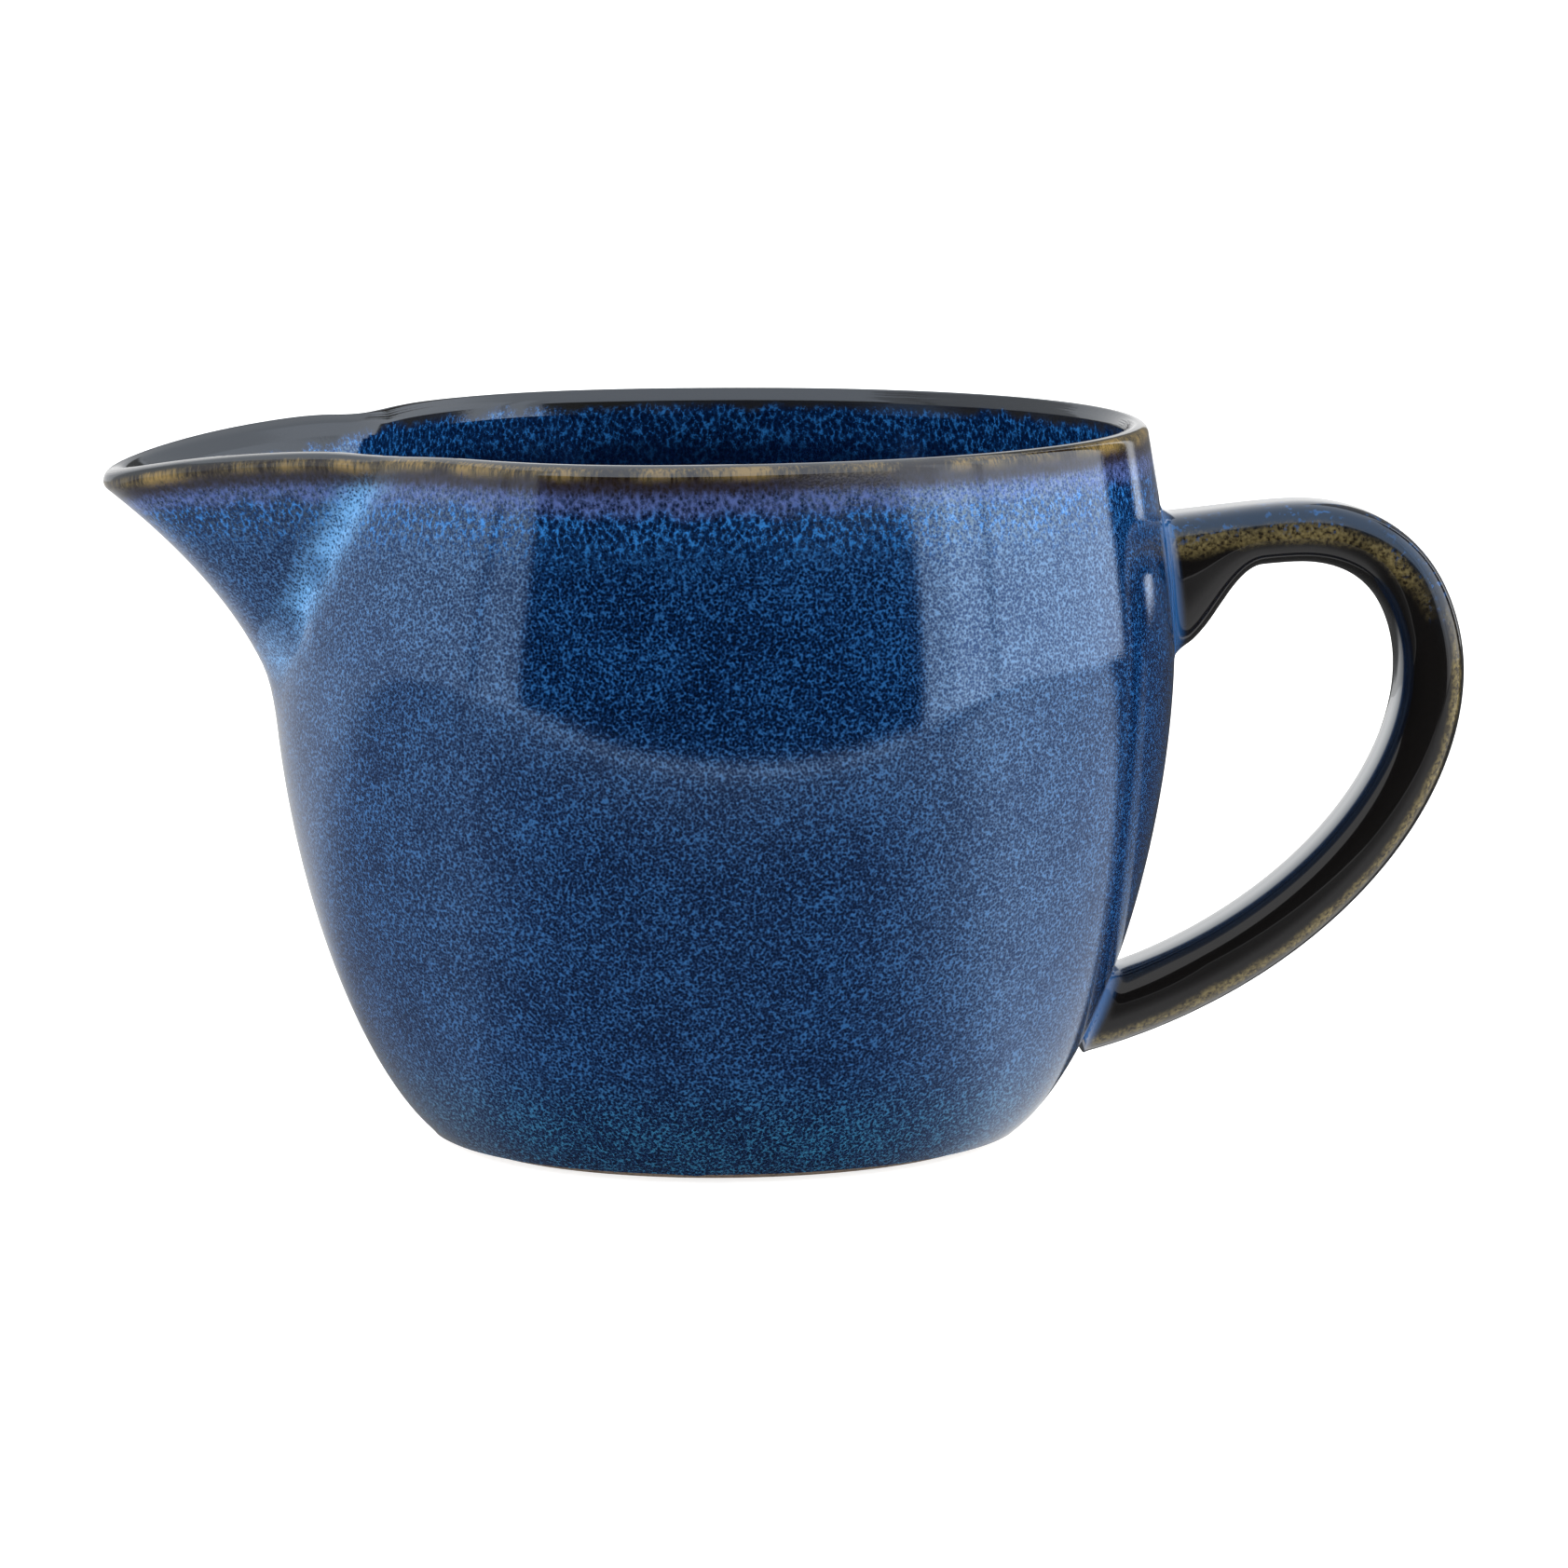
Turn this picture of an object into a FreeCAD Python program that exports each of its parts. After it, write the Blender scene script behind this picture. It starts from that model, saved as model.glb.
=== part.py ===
"""Glazed stoneware pitcher: a round bowl with a creased beak, a looped strap handle and a coat of glaze.

Units are millimetres. The origin is the centre of the foot ring on the table, +Z is up,
the beak points along -X and the handle along +X, and the XZ plane is the plane of symmetry.

Every clay and glaze surface of the vessel is a layer at a known depth under one outline, the
outside of the finished glaze, so neighbouring pieces meet on the same faces.
"""

import FreeCAD, Part

import math
import os

Vector = FreeCAD.Vector

# ---- bowl, outside of the glaze ------------------------------------------------------------
RIM_HEIGHT = 86.2  # table to the crest of the lip
FOOT_RADIUS = 33.2  # where the bowl's outline would meet the table
BELLY_RADIUS = 54.45
BELLY_HEIGHT = 59.4
MOUTH_RADIUS = 51.2  # at the height of the lip
FOOT_FULLNESS = 1.757  # exponents of the curve from foot to belly
BELLY_FULLNESS = 1.552
SHOULDER_EASE = 1.355  # exponent of the curve from belly to lip

# ---- beak ------------------------------------------------------------------------------------
SPOUT_DROP = 31.3  # height of the beak, from the lip down to where it leaves the wall
SPOUT_SLOPE = 0.35  # how steeply its underside starts, outwards per unit of height
SPOUT_FLARE = 11.15  # extra reach that the underside gains by FLARE_RISE above its root
FLARE_RISE = 25.0
NOSE_RADIUS_ROOT = 19.0  # plan radius of the beak's nose at its root and at the lip
NOSE_RADIUS_LIP = 4.8
BEAK_ANGLE_ROOT = math.radians(24.5)  # half angle that the beak's sides open to in plan, at its root
BEAK_ANGLE_LIP = math.radians(29.0)  # and at the lip
CHEEK_SWELL = 2.3  # how far the wall swells out beside the beak, at the lip
CHEEK_BEARING = math.radians(67.0)  # bearing where it swells most
CHEEK_SPAN = math.radians(20.0)
CREASE_BLEND = 1.3  # how far apart bowl and beak may be and still melt together
BEAK_REACH_ANGLE = math.radians(80)  # the beak's outline is not used past this bearing
DIP_START = 35.0  # distance from the axis at which the lip starts to fall towards the tip
DIP_DEPTH = 4.3  # how far it has fallen at DIP_REACH
DIP_REACH = 74.0
DIP_POWER = 2.67  # 1 is a straight fall, more keeps the lip level for longer
SAG_DEPTH = 0.45  # the small sag of the lip at the crease
SAG_OUT = 41.9  # distance from the axis at which it sags most
SAG_SPAN = 4.6

# ---- walls -----------------------------------------------------------------------------------
GLAZE = 0.45  # thickness of the fired glaze
LIP_GLAZE = 0.3  # thinner over the crest, where it runs off
LIP_CLAY = 2.1  # clay thickness at the lip
WALL_CLAY = 3.3  # clay thickness below the shoulder
THIN_BAND = 22.0  # height over which the clay thins towards the lip
FLOOR_CLAY = 3.0  # clay between the foot well and the inside floor
FLOOR_FLAT = 24.0  # radius of the flat inside floor
FLOOR_TURN = 30.0  # height where the inside wall starts to turn in to the floor

# ---- foot ------------------------------------------------------------------------------------
GLAZE_LINE = 1.0  # the glaze stops this far above the table
RING_RADIUS = 32.2  # outer radius of the resting ring
RING_WIDTH = 3.6
WELL_DEPTH = 2.2
WELL_DRAFT = 0.5  # the well's wall leans in by this much over its depth

# ---- handle, over the glaze --------------------------------------------------------------------
HANDLE_OUT = 31.8  # belly wall to the middle of the strap at its furthest
CROWN_OUT = 15.6  # belly wall to the middle of the strap at its highest
ROOT_DROP = 15.6  # lip down to the middle of the strap at the upper root
CROWN_DROP = 14.0  # lip down to the middle of the strap at its highest
OUT_DROP = 31.1  # lip down to the middle of the strap at its furthest
LOWER_ROOT = 13.6  # height of the middle of the strap where it meets the wall again
LOWER_SLOPE = math.radians(13.6)  # how steeply the strap comes down to the lower root
STRAP_THICK_TOP = 7.6  # in the plane of the loop
STRAP_THICK_LOW = 8.9
STRAP_WIDTH = 11.2  # across the loop
ROOT_WIDEN = 1.4  # extra width at each root
GUSSET_DEPTH = 9.1  # how far the underside of the upper root flares down
GUSSET_RUN = 12.0  # how far out from the wall the gusset reaches
STRAP_SQUARENESS = 2.35  # 2 is an ellipse, more is squarer
TOP_PULL = (8.0, 4.0)  # handle lengths of the curve from upper root to crown
BEND_PULL = (11.6, 8.0)  # from crown to the furthest point
LOWER_PULL = (16.8, 26.6)  # from the furthest point to the lower root
ROOT_SINK = 2.0  # the strap is drawn this far into the wall before it is trimmed

# ---- slip, the liquid clay that sticks the pieces together ---------------------------------------
SLIP = 0.8  # thickness of the slip between wall and handle
SLIP_BEAD = 0.9  # how far the slip squeezes out round the handle
SEAM = 0.6  # thickness of the slip between bowl and beak

# ---- fineness of the surfaces ----------------------------------------------------------------------
WALL_ROWS = 36
INNER_ROWS = 24
FLOOR_ROWS = 6
LIP_ROWS = 8
STRAP_ROWS = 11  # on each of the three curves
SECTION_STEPS = 12  # on each half of the strap's section
BEAK_STEP = math.radians(2.5)
BACK_STEP = math.radians(8)
BEAK_SPAN = math.radians(60)
STEP = 1e-3  # for finite differences
SEW_TOLERANCE = 0.01
SPARE = 20.0  # how far a cutting shape runs past what it cuts


def smoothstep(x):
    """0 below 0, 1 above 1 and a smooth rise between."""
    x = min(1.0, max(0.0, x))
    return x * x * (3 - 2 * x)


def bowl_radius(z):
    """Radius of the bowl's outline at height z, leaving out the beak."""
    if z < BELLY_HEIGHT:
        below = 1 - max(z, 0.0) / BELLY_HEIGHT
        share = (1 - below**FOOT_FULLNESS) ** (1 / BELLY_FULLNESS)
        return FOOT_RADIUS + (BELLY_RADIUS - FOOT_RADIUS) * share
    above = (z - BELLY_HEIGHT) / (RIM_HEIGHT - BELLY_HEIGHT)
    return BELLY_RADIUS - (BELLY_RADIUS - MOUTH_RADIUS) * above**SHOULDER_EASE


def wall_radius(phi, z):
    """Radius of the bowl's wall at bearing phi and height z, with the cheeks beside the beak."""
    share = min(1.0, max(0.0, (z - (RIM_HEIGHT - SPOUT_DROP)) / SPOUT_DROP))
    bell = math.exp(-(((abs(phi) - CHEEK_BEARING) / CHEEK_SPAN) ** 2))
    return bowl_radius(z) + CHEEK_SWELL * share**2 * bell


def beak_reach(z):
    """Distance from the axis to the underside of the beak, in the plane of symmetry."""
    rise = z - (RIM_HEIGHT - SPOUT_DROP)
    flare = SPOUT_FLARE * (max(rise, 0.0) / FLARE_RISE) ** 2
    return bowl_radius(RIM_HEIGHT - SPOUT_DROP) + SPOUT_SLOPE * rise + flare


def beak_radius(phi, z):
    """Distance from the axis to the beak's hyperbola in plan, at bearing phi from -X."""
    rise = (z - (RIM_HEIGHT - SPOUT_DROP)) / SPOUT_DROP
    share = min(1.0, max(0.0, rise))
    nose = NOSE_RADIUS_ROOT + (NOSE_RADIUS_LIP - NOSE_RADIUS_ROOT) * share
    open_ = math.tan(BEAK_ANGLE_ROOT + (BEAK_ANGLE_LIP - BEAK_ANGLE_ROOT) * share) ** 2
    reach = beak_reach(z)
    c = math.cos(phi)
    side = math.sin(phi) ** 2 - open_ * c * c
    front = c * (nose + open_ * reach)
    tip = 2 * nose * reach + open_ * reach * reach
    return tip / (front + math.sqrt(front * front + side * tip))


def outline_radius(phi, z):
    """Radius of the finished vessel: the larger of bowl and beak, with the crease softened."""
    bowl = wall_radius(phi, z)
    if abs(phi) > BEAK_REACH_ANGLE:
        return bowl
    beak = beak_radius(phi, z)
    near = max(0.0, CREASE_BLEND - abs(bowl - beak))
    return max(bowl, beak) + near * near / (4 * CREASE_BLEND)


def outline_point(phi, z):
    """The outline at bearing phi, measured from -X towards +Y, and height z."""
    r = outline_radius(phi, z)
    return Vector(-r * math.cos(phi), r * math.sin(phi), z)


def outline_frame(phi, z):
    """Point, outward normal and upward tangent of the outline."""
    up = outline_point(phi, z + STEP) - outline_point(phi, z - STEP)
    round_ = outline_point(phi + STEP, z) - outline_point(phi - STEP, z)
    normal = up.cross(round_).normalize()
    tangent = (up - normal * up.dot(normal)).normalize()
    return outline_point(phi, z), normal, tangent


LIP_HALF = LIP_CLAY / 2 + GLAZE
LIP_RISE = LIP_CLAY / 2 + LIP_GLAZE


def lip_crest(phi, z):
    """Distance out along -X and height of the lip's crest, if the wall under it ends at z."""
    point, normal, tangent = outline_frame(phi, z)
    middle = point - normal * LIP_HALF
    return -middle.x, middle.z + math.hypot(LIP_HALF * normal.z, LIP_RISE * tangent.z)


def lip_fall(out):
    """How far the crest of the lip has fallen, at a distance from the axis towards the tip."""
    share = max(0.0, out - DIP_START) / (DIP_REACH - DIP_START)
    sag = SAG_DEPTH * math.exp(-(((out - SAG_OUT) / SAG_SPAN) ** 2))
    return DIP_DEPTH * share**DIP_POWER + sag


def wall_top(phi):
    """Height at which the outline hands over to the rounded lip."""
    z = RIM_HEIGHT - LIP_RISE
    for _ in range(12):
        out, crest = lip_crest(phi, z)
        z += RIM_HEIGHT - lip_fall(out) - crest
    return z


def clay_thickness(z, top):
    """Thickness of the clay wall at height z, under a wall whose top is at height top."""
    return LIP_CLAY + (WALL_CLAY - LIP_CLAY) * smoothstep((top - z) / THIN_BAND)


def bearings():
    """Bearings of the surface's columns, from the nose of the beak to the back of the handle."""
    close = round(BEAK_SPAN / BEAK_STEP)
    wide = round((math.pi - BEAK_SPAN) / BACK_STEP)
    front = [BEAK_SPAN * i / close for i in range(close)]
    return front + [BEAK_SPAN + (math.pi - BEAK_SPAN) * i / wide for i in range(wide + 1)]


def flattened(point, phi):
    """The point, put exactly on the plane of symmetry where its bearing lies in it."""
    if phi == 0 or abs(phi - math.pi) < 1e-9:
        point.y = 0
    return point


def layer_point(phi, z, top, clay_share, glaze_coats):
    """A point under the outline, below so many coats of glaze and that share of the clay."""
    point, normal, _ = outline_frame(phi, z)
    depth = glaze_coats * GLAZE + clay_share * clay_thickness(z, top)
    return flattened(point - normal * depth, phi)


def outer_grid(glaze_coats):
    """Rows of points up the outside wall, from the glaze line to the lip."""
    columns = []
    for phi in bearings():
        top = wall_top(phi)
        rows = []
        for j in range(WALL_ROWS + 1):
            share = (1 - math.cos(math.pi * j / WALL_ROWS)) / 2
            z = GLAZE_LINE + (top - GLAZE_LINE) * share
            rows.append(layer_point(phi, z, top, 0, glaze_coats))
        columns.append(rows)
    return columns


def inner_grid(glaze_coats, floor_height):
    """Rows of points from the edge of the flat floor, up the inside wall to the lip."""
    columns = []
    for phi in bearings():
        top = wall_top(phi)
        start = layer_point(phi, FLOOR_TURN, top, 1, glaze_coats)
        above = layer_point(phi, FLOOR_TURN + STEP, top, 1, glaze_coats)
        upward = (above - start).normalize()
        outward = flattened(Vector(-math.cos(phi), math.sin(phi), 0), phi)
        edge = outward * FLOOR_FLAT + Vector(0, 0, floor_height)
        drop = FLOOR_TURN - floor_height
        width = start.dot(outward) - FLOOR_FLAT
        curve = (edge, edge + outward * width * 0.45, start - upward * drop * 0.55, start)
        rows = [bezier(curve, j / FLOOR_ROWS)[0] for j in range(FLOOR_ROWS)]
        for j in range(INNER_ROWS + 1):
            z = FLOOR_TURN + (top - FLOOR_TURN) * math.sin(math.pi / 2 * j / INNER_ROWS)
            rows.append(layer_point(phi, z, top, 1, glaze_coats))
        columns.append([flattened(p, phi) for p in rows])
    return columns


def lip_grid(glaze_coats, crest):
    """Rows of points over the lip: a half ellipse from the outer wall to the inner wall."""
    half = LIP_CLAY / 2 + glaze_coats * GLAZE
    columns = []
    for phi in bearings():
        point, normal, tangent = outline_frame(phi, wall_top(phi))
        middle = point - normal * LIP_HALF
        rows = []
        for j in range(LIP_ROWS + 1):
            turn = math.pi * j / LIP_ROWS
            offset = normal * half * math.cos(turn) + tangent * crest * math.sin(turn)
            rows.append(flattened(middle + offset, phi))
        columns.append(rows)
    return columns


def bezier(points, t):
    """Point and direction of a cubic Bezier curve at t."""
    a, b, c, d = points
    s = 1 - t
    point = a * s**3 + b * 3 * s * s * t + c * 3 * s * t * t + d * t**3
    direction = (b - a) * s * s + (c - b) * 2 * s * t + (d - c) * t * t
    return point, direction.normalize()


def spaced(points):
    """Spline parameters from 0 to 1, in proportion to the length walked from point to point."""
    walked = [0.0]
    for a, b in zip(points, points[1:]):
        walked.append(walked[-1] + (b - a).Length)
    return [w / walked[-1] for w in walked]


def curve_through(points, parameters):
    """The smooth cubic curve that passes through points at the given parameters."""
    curve = Part.BSplineCurve()
    curve.interpolate(Points=points, Parameters=parameters)
    return curve


def surface_through(columns, across):
    """The smooth surface through a grid, with the columns at the parameters across.

    Sheets that share a row of points and the parameters across share that whole edge.
    """
    along = spaced(columns[len(columns) // 2])
    uprights = [curve_through(rows, along) for rows in columns]
    poles = [curve.getPoles() for curve in uprights]
    rounds = [curve_through([p[j] for p in poles], across) for j in range(len(poles[0]))]
    u, v = rounds[0], uprights[0]
    surface = Part.BSplineSurface()
    surface.buildFromPolesMultsKnots(
        [list(row) for row in zip(*(curve.getPoles() for curve in rounds))],
        u.getMultiplicities(),
        v.getMultiplicities(),
        u.getKnots(),
        v.getKnots(),
        False,
        False,
        3,
        3,
    )
    return surface


class Sheet:
    """A smooth surface through a grid of points on the +Y side, and its mirror image."""

    def __init__(self, columns, across):
        surface = surface_through(columns, across)
        half = surface.toShape()
        mirrored = half.mirror(Vector(0, 0, 0), Vector(0, 1, 0))
        self.faces = [half, mirrored]
        self.first = self.rail(surface.vIso(surface.bounds()[2]))
        self.last = self.rail(surface.vIso(surface.bounds()[3]))

    @staticmethod
    def rail(curve):
        """The edge that runs round one end of the sheet, as its two halves."""
        edge = curve.toShape()
        return [edge, edge.mirror(Vector(0, 0, 0), Vector(0, 1, 0))]


def between(rail_a, rail_b):
    """Ruled faces that join two rails."""
    return [Part.makeRuledSurface(a, b) for a, b in zip(rail_a, rail_b)]


def cap(rail):
    """The flat face inside a closed rail."""
    return Part.Face(Part.Wire(Part.sortEdges(rail)[0]))


def closed_solid(faces):
    """The solid inside a set of faces that meet at their edges."""
    shell = Part.Shell(faces)
    shell.sewShape(SEW_TOLERANCE)
    solid = Part.Solid(Part.Shell(shell.Faces))
    if solid.Volume < 0:
        solid.reverse()
    return solid


def outermost(shape):
    """Of the solids in a shape, the one that reaches furthest along +X."""
    return max(shape.Solids, key=lambda s: s.BoundBox.XMax)


def circle_rail(radius, z):
    """A circle as two half circles that run from -X to +X, the +Y one first."""
    ends = (Vector(-radius, 0, z), Vector(radius, 0, z))
    sides = (Vector(0, radius, z), Vector(0, -radius, z))
    return [Part.Arc(ends[0], side, ends[1]).toShape() for side in sides]


def foot_well():
    """The shallow well inside the resting ring."""
    rim = RING_RADIUS - RING_WIDTH
    return Part.makeCone(rim, rim - WELL_DRAFT, WELL_DEPTH)


def foot_well_glaze():
    """The disc of glaze on the ceiling of the foot well."""
    low, high = WELL_DEPTH - GLAZE, WELL_DEPTH
    rim = RING_RADIUS - RING_WIDTH
    return Part.makeCone(
        rim - WELL_DRAFT * low / WELL_DEPTH, rim - WELL_DRAFT, high - low, Vector(0, 0, low)
    )


class Vessel:
    """The clay of bowl and beak in one, and the coats of glaze that lie on it."""

    def __init__(self):
        floor = WELL_DEPTH + FLOOR_CLAY
        phi = bearings()
        glaze_out, clay_out = Sheet(outer_grid(0), phi), Sheet(outer_grid(1), phi)
        clay_in = Sheet(inner_grid(1, floor), phi)
        glaze_in = Sheet(inner_grid(2, floor + GLAZE), phi)
        clay_lip = Sheet(lip_grid(0, LIP_CLAY / 2), phi)
        glaze_lip = Sheet(lip_grid(1, LIP_RISE), phi)
        ring = circle_rail(RING_RADIUS, 0)
        lip_out = between(glaze_out.last, clay_out.last)
        lip_in = between(clay_in.last, glaze_in.last)

        body = clay_out.faces + clay_lip.faces + clay_in.faces
        body += between(ring, clay_out.first) + [cap(ring), cap(clay_in.first)]
        self.clay = closed_solid(body).cut(foot_well())
        self.outer_glaze = closed_solid(
            glaze_out.faces + clay_out.faces + lip_out + between(clay_out.first, glaze_out.first)
        )
        self.rim_glaze = closed_solid(glaze_lip.faces + clay_lip.faces + lip_out + lip_in)
        self.inner_glaze = closed_solid(
            clay_in.faces + glaze_in.faces + lip_in + [cap(clay_in.first), cap(glaze_in.first)]
        )


def crease_offset(z):
    """Distance from the plane of symmetry to the crease between bowl and beak, at height z."""
    low, high = 0.0, BEAK_REACH_ANGLE
    for _ in range(40):
        phi = (low + high) / 2
        if beak_radius(phi, z) > wall_radius(phi, z):
            low = phi
        else:
            high = phi
    return wall_radius(low, z) * math.sin(low)


CREASE_POINTS = 9


def beak_block(margin):
    """A block that holds the beak, with its sides on the crease and set out by a margin."""
    root, top = RIM_HEIGHT - SPOUT_DROP, RIM_HEIGHT
    side = []
    for i in range(1, CREASE_POINTS):
        z = root + (top - root) * (i / (CREASE_POINTS - 1)) ** 2
        side.append(Vector(0, crease_offset(z), z))
    points = [Vector(0, -p.y, p.z) for p in reversed(side)] + [Vector(0, 0, root)] + side
    curve = Part.BSplineCurve()
    curve.interpolate(points)
    shifted = []
    for point in points:
        across = curve.tangent(curve.parameter(point))[0].cross(Vector(1, 0, 0)).normalize()
        shifted.append(point + across * margin * (-1 if across.z > 0 else 1))
    edge = Part.BSplineCurve()
    edge.interpolate(shifted)
    lift = Vector(0, 0, SPARE)
    start, end = shifted[0], shifted[-1]
    straight = Part.makePolygon([end, end + lift, start + lift, start])
    outline = Part.Wire([edge.toShape(), *straight.Edges])
    outline.translate(Vector(-MOUTH_RADIUS / 2, 0, 0))
    depth = beak_reach(RIM_HEIGHT) + SPARE - MOUTH_RADIUS / 2
    return Part.Face(outline).extrude(Vector(-depth, 0, 0))


class Strap:
    """The handle's strap: a centreline of three Bezier curves and a section that changes on it."""

    def __init__(self):
        upper_z = RIM_HEIGHT - ROOT_DROP
        upper = Vector(bowl_radius(upper_z) - ROOT_SINK, 0, upper_z)
        crown = Vector(BELLY_RADIUS + CROWN_OUT, 0, RIM_HEIGHT - CROWN_DROP)
        outmost = Vector(BELLY_RADIUS + HANDLE_OUT, 0, RIM_HEIGHT - OUT_DROP)
        arrive = Vector(math.cos(LOWER_SLOPE), 0, math.sin(LOWER_SLOPE))
        lower = Vector(bowl_radius(LOWER_ROOT), 0, LOWER_ROOT) - arrive * ROOT_SINK
        along, down = Vector(1, 0, 0), Vector(0, 0, -1)
        rise = (crown - upper).normalize()
        self.curves = [
            (upper, upper + rise * TOP_PULL[0], crown - along * TOP_PULL[1], crown),
            (crown, crown + along * BEND_PULL[0], outmost - down * BEND_PULL[1], outmost),
            (outmost, outmost + down * LOWER_PULL[0], lower + arrive * LOWER_PULL[1], lower),
        ]

    def stations(self):
        """Centre, direction and share of the way from crown to lower root, along the strap."""
        found = []
        for number, curve in enumerate(self.curves):
            first = 0 if number == 0 else 1
            for i in range(first, STRAP_ROWS + 1):
                t = i / STRAP_ROWS
                point, direction = bezier(curve, t)
                found.append((point, direction, max(0.0, (number - 1 + t) / 2)))
        return found

    def half_sizes(self, point, share, coat):
        """Half thickness on the outer and inner side, and half width, at a station."""
        gap = point.x - bowl_radius(point.z)
        near = math.cos(math.pi / 2 * min(1.0, max(0.0, gap / GUSSET_RUN))) ** 2
        thick = STRAP_THICK_TOP + (STRAP_THICK_LOW - STRAP_THICK_TOP) * smoothstep(share)
        gusset = GUSSET_DEPTH * near if share == 0 else 0.0
        wide = STRAP_WIDTH / 2 + ROOT_WIDEN / 2 * near
        return thick / 2 + coat, thick / 2 + gusset + coat, wide + coat

    def solid(self, coat):
        """The strap with its section set out by a coat, or in where the coat is negative."""
        columns = [[] for _ in range(SECTION_STEPS + 1)]
        for point, direction, share in self.stations():
            outward = direction.cross(Vector(0, 1, 0)).normalize()
            outer, inner, wide = self.half_sizes(point, share, coat)
            for i, rows in enumerate(columns):
                turn = math.pi * i / SECTION_STEPS
                c, s = math.cos(turn), math.sin(turn)
                tall = outer if c > 0 else inner
                size = (abs(c) / tall) ** STRAP_SQUARENESS + (s / wide) ** STRAP_SQUARENESS
                reach = size ** (-1 / STRAP_SQUARENESS)
                offset = outward * reach * c + Vector(0, reach * s, 0)
                if i in (0, SECTION_STEPS):
                    offset.y = 0
                rows.append(point + offset)
        turns = [i / SECTION_STEPS for i in range(SECTION_STEPS + 1)]
        sheet = Sheet(columns, turns)
        return closed_solid(sheet.faces + [cap(sheet.first), cap(sheet.last)])


def swollen_bowl(margin):
    """The bowl without its beak, filled, and set out by a margin from the clay."""
    steps = 60
    profile = [Vector(0, 0, -SPARE), Vector(bowl_radius(0), 0, -SPARE)]
    for i in range(steps + 1):
        z = RIM_HEIGHT * i / steps
        slope = (bowl_radius(z + STEP) - bowl_radius(max(0.0, z - STEP))) / (2 * STEP)
        out = (margin - GLAZE) * math.sqrt(1 + min(slope, 2.0) ** 2)
        profile.append(Vector(bowl_radius(z) + out, 0, z))
    return profile


def swollen_solid(margin):
    """The solid of swollen_bowl, with a smooth side."""
    profile = swollen_bowl(margin)
    side = Part.BSplineCurve()
    side.interpolate(profile[2:])
    top = profile[-1]
    ends = [Vector(top.x, 0, top.z), Vector(0, 0, top.z), profile[0], profile[1], profile[2]]
    outline = Part.Wire([side.toShape(), *Part.makePolygon(ends).Edges])
    return Part.Face(outline).revolve(Vector(0, 0, 0), Vector(0, 0, 1), 360)


def upper_half(shape):
    """The part of a shape above the middle of the handle."""
    size = 10 * BELLY_RADIUS
    middle = (RIM_HEIGHT - ROOT_DROP + LOWER_ROOT) / 2
    return shape.common(Part.makeBox(size, size, size, Vector(-size / 2, -size / 2, middle)))


def lower_half(shape):
    """The part of a shape below the middle of the handle."""
    size = 10 * BELLY_RADIUS
    middle = (RIM_HEIGHT - ROOT_DROP + LOWER_ROOT) / 2
    return shape.common(
        Part.makeBox(size, size, size, Vector(-size / 2, -size / 2, middle - size))
    )


def build():
    """Every piece of the pitcher, by name."""
    vessel = Vessel()
    strap = Strap()
    clay_strap = strap.solid(-GLAZE)
    slip_strap = strap.solid(SLIP_BEAD - GLAZE)
    slip_shell = swollen_solid(SLIP)

    slip = slip_strap.common(slip_shell).cut(vessel.clay)
    upper_slip, lower_slip = outermost(upper_half(slip)), outermost(lower_half(slip))
    handle = outermost(clay_strap.cut(slip_shell))

    collar = strap.solid(SLIP_BEAD).common(swollen_solid(SLIP + GLAZE))
    coat = strap.solid(0).fuse(collar)
    coat = coat.cut([vessel.clay, vessel.outer_glaze, handle, upper_slip, lower_slip])

    seam_block, beak = beak_block(SEAM / 2), beak_block(-SEAM / 2)
    return {
        "bowl": vessel.clay.cut(seam_block),
        "spout": vessel.clay.common(beak),
        "spout_seam": vessel.clay.common(seam_block).cut(beak),
        "handle": handle,
        "upper_handle_joint": upper_slip,
        "lower_handle_joint": lower_slip,
        "outer_glaze": vessel.outer_glaze.cut([upper_slip, lower_slip]),
        "inner_glaze": vessel.inner_glaze,
        "rim_glaze": vessel.rim_glaze,
        "handle_glaze": outermost(coat),
        "foot_well_glaze": foot_well_glaze(),
    }


def main():
    """Builds the pieces and writes one STEP file for each."""
    os.makedirs("parts", exist_ok=True)
    for name, shape in build().items():
        solids = shape.Solids
        print(name, "solids", len(solids), "valid", shape.isValid(), "mm3", round(shape.Volume, 1))
        piece = solids[0] if len(solids) == 1 else Part.makeCompound(solids)
        piece.exportStep(f"parts/{name}.step")


main()
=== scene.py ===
"""Looks of a glazed stoneware pitcher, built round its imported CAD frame.

The clay pieces stay as the CAD made them. The coats of glaze are made again here as smooth
surfaces, because the light that plays on them is what the eye sees first: one skin over the wall,
the lip and the inside, and one over the looped handle and the fillets at its roots.

Lengths in this file are millimetres unless a name ends in _m. Bearings are radians round the
vertical axis, from the tip of the beak (-X) towards +Y.
"""

from __future__ import annotations

import logging
import math
from dataclasses import dataclass, field
from enum import Enum

import bpy
import numpy as np
from mathutils import Matrix, Vector

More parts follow.
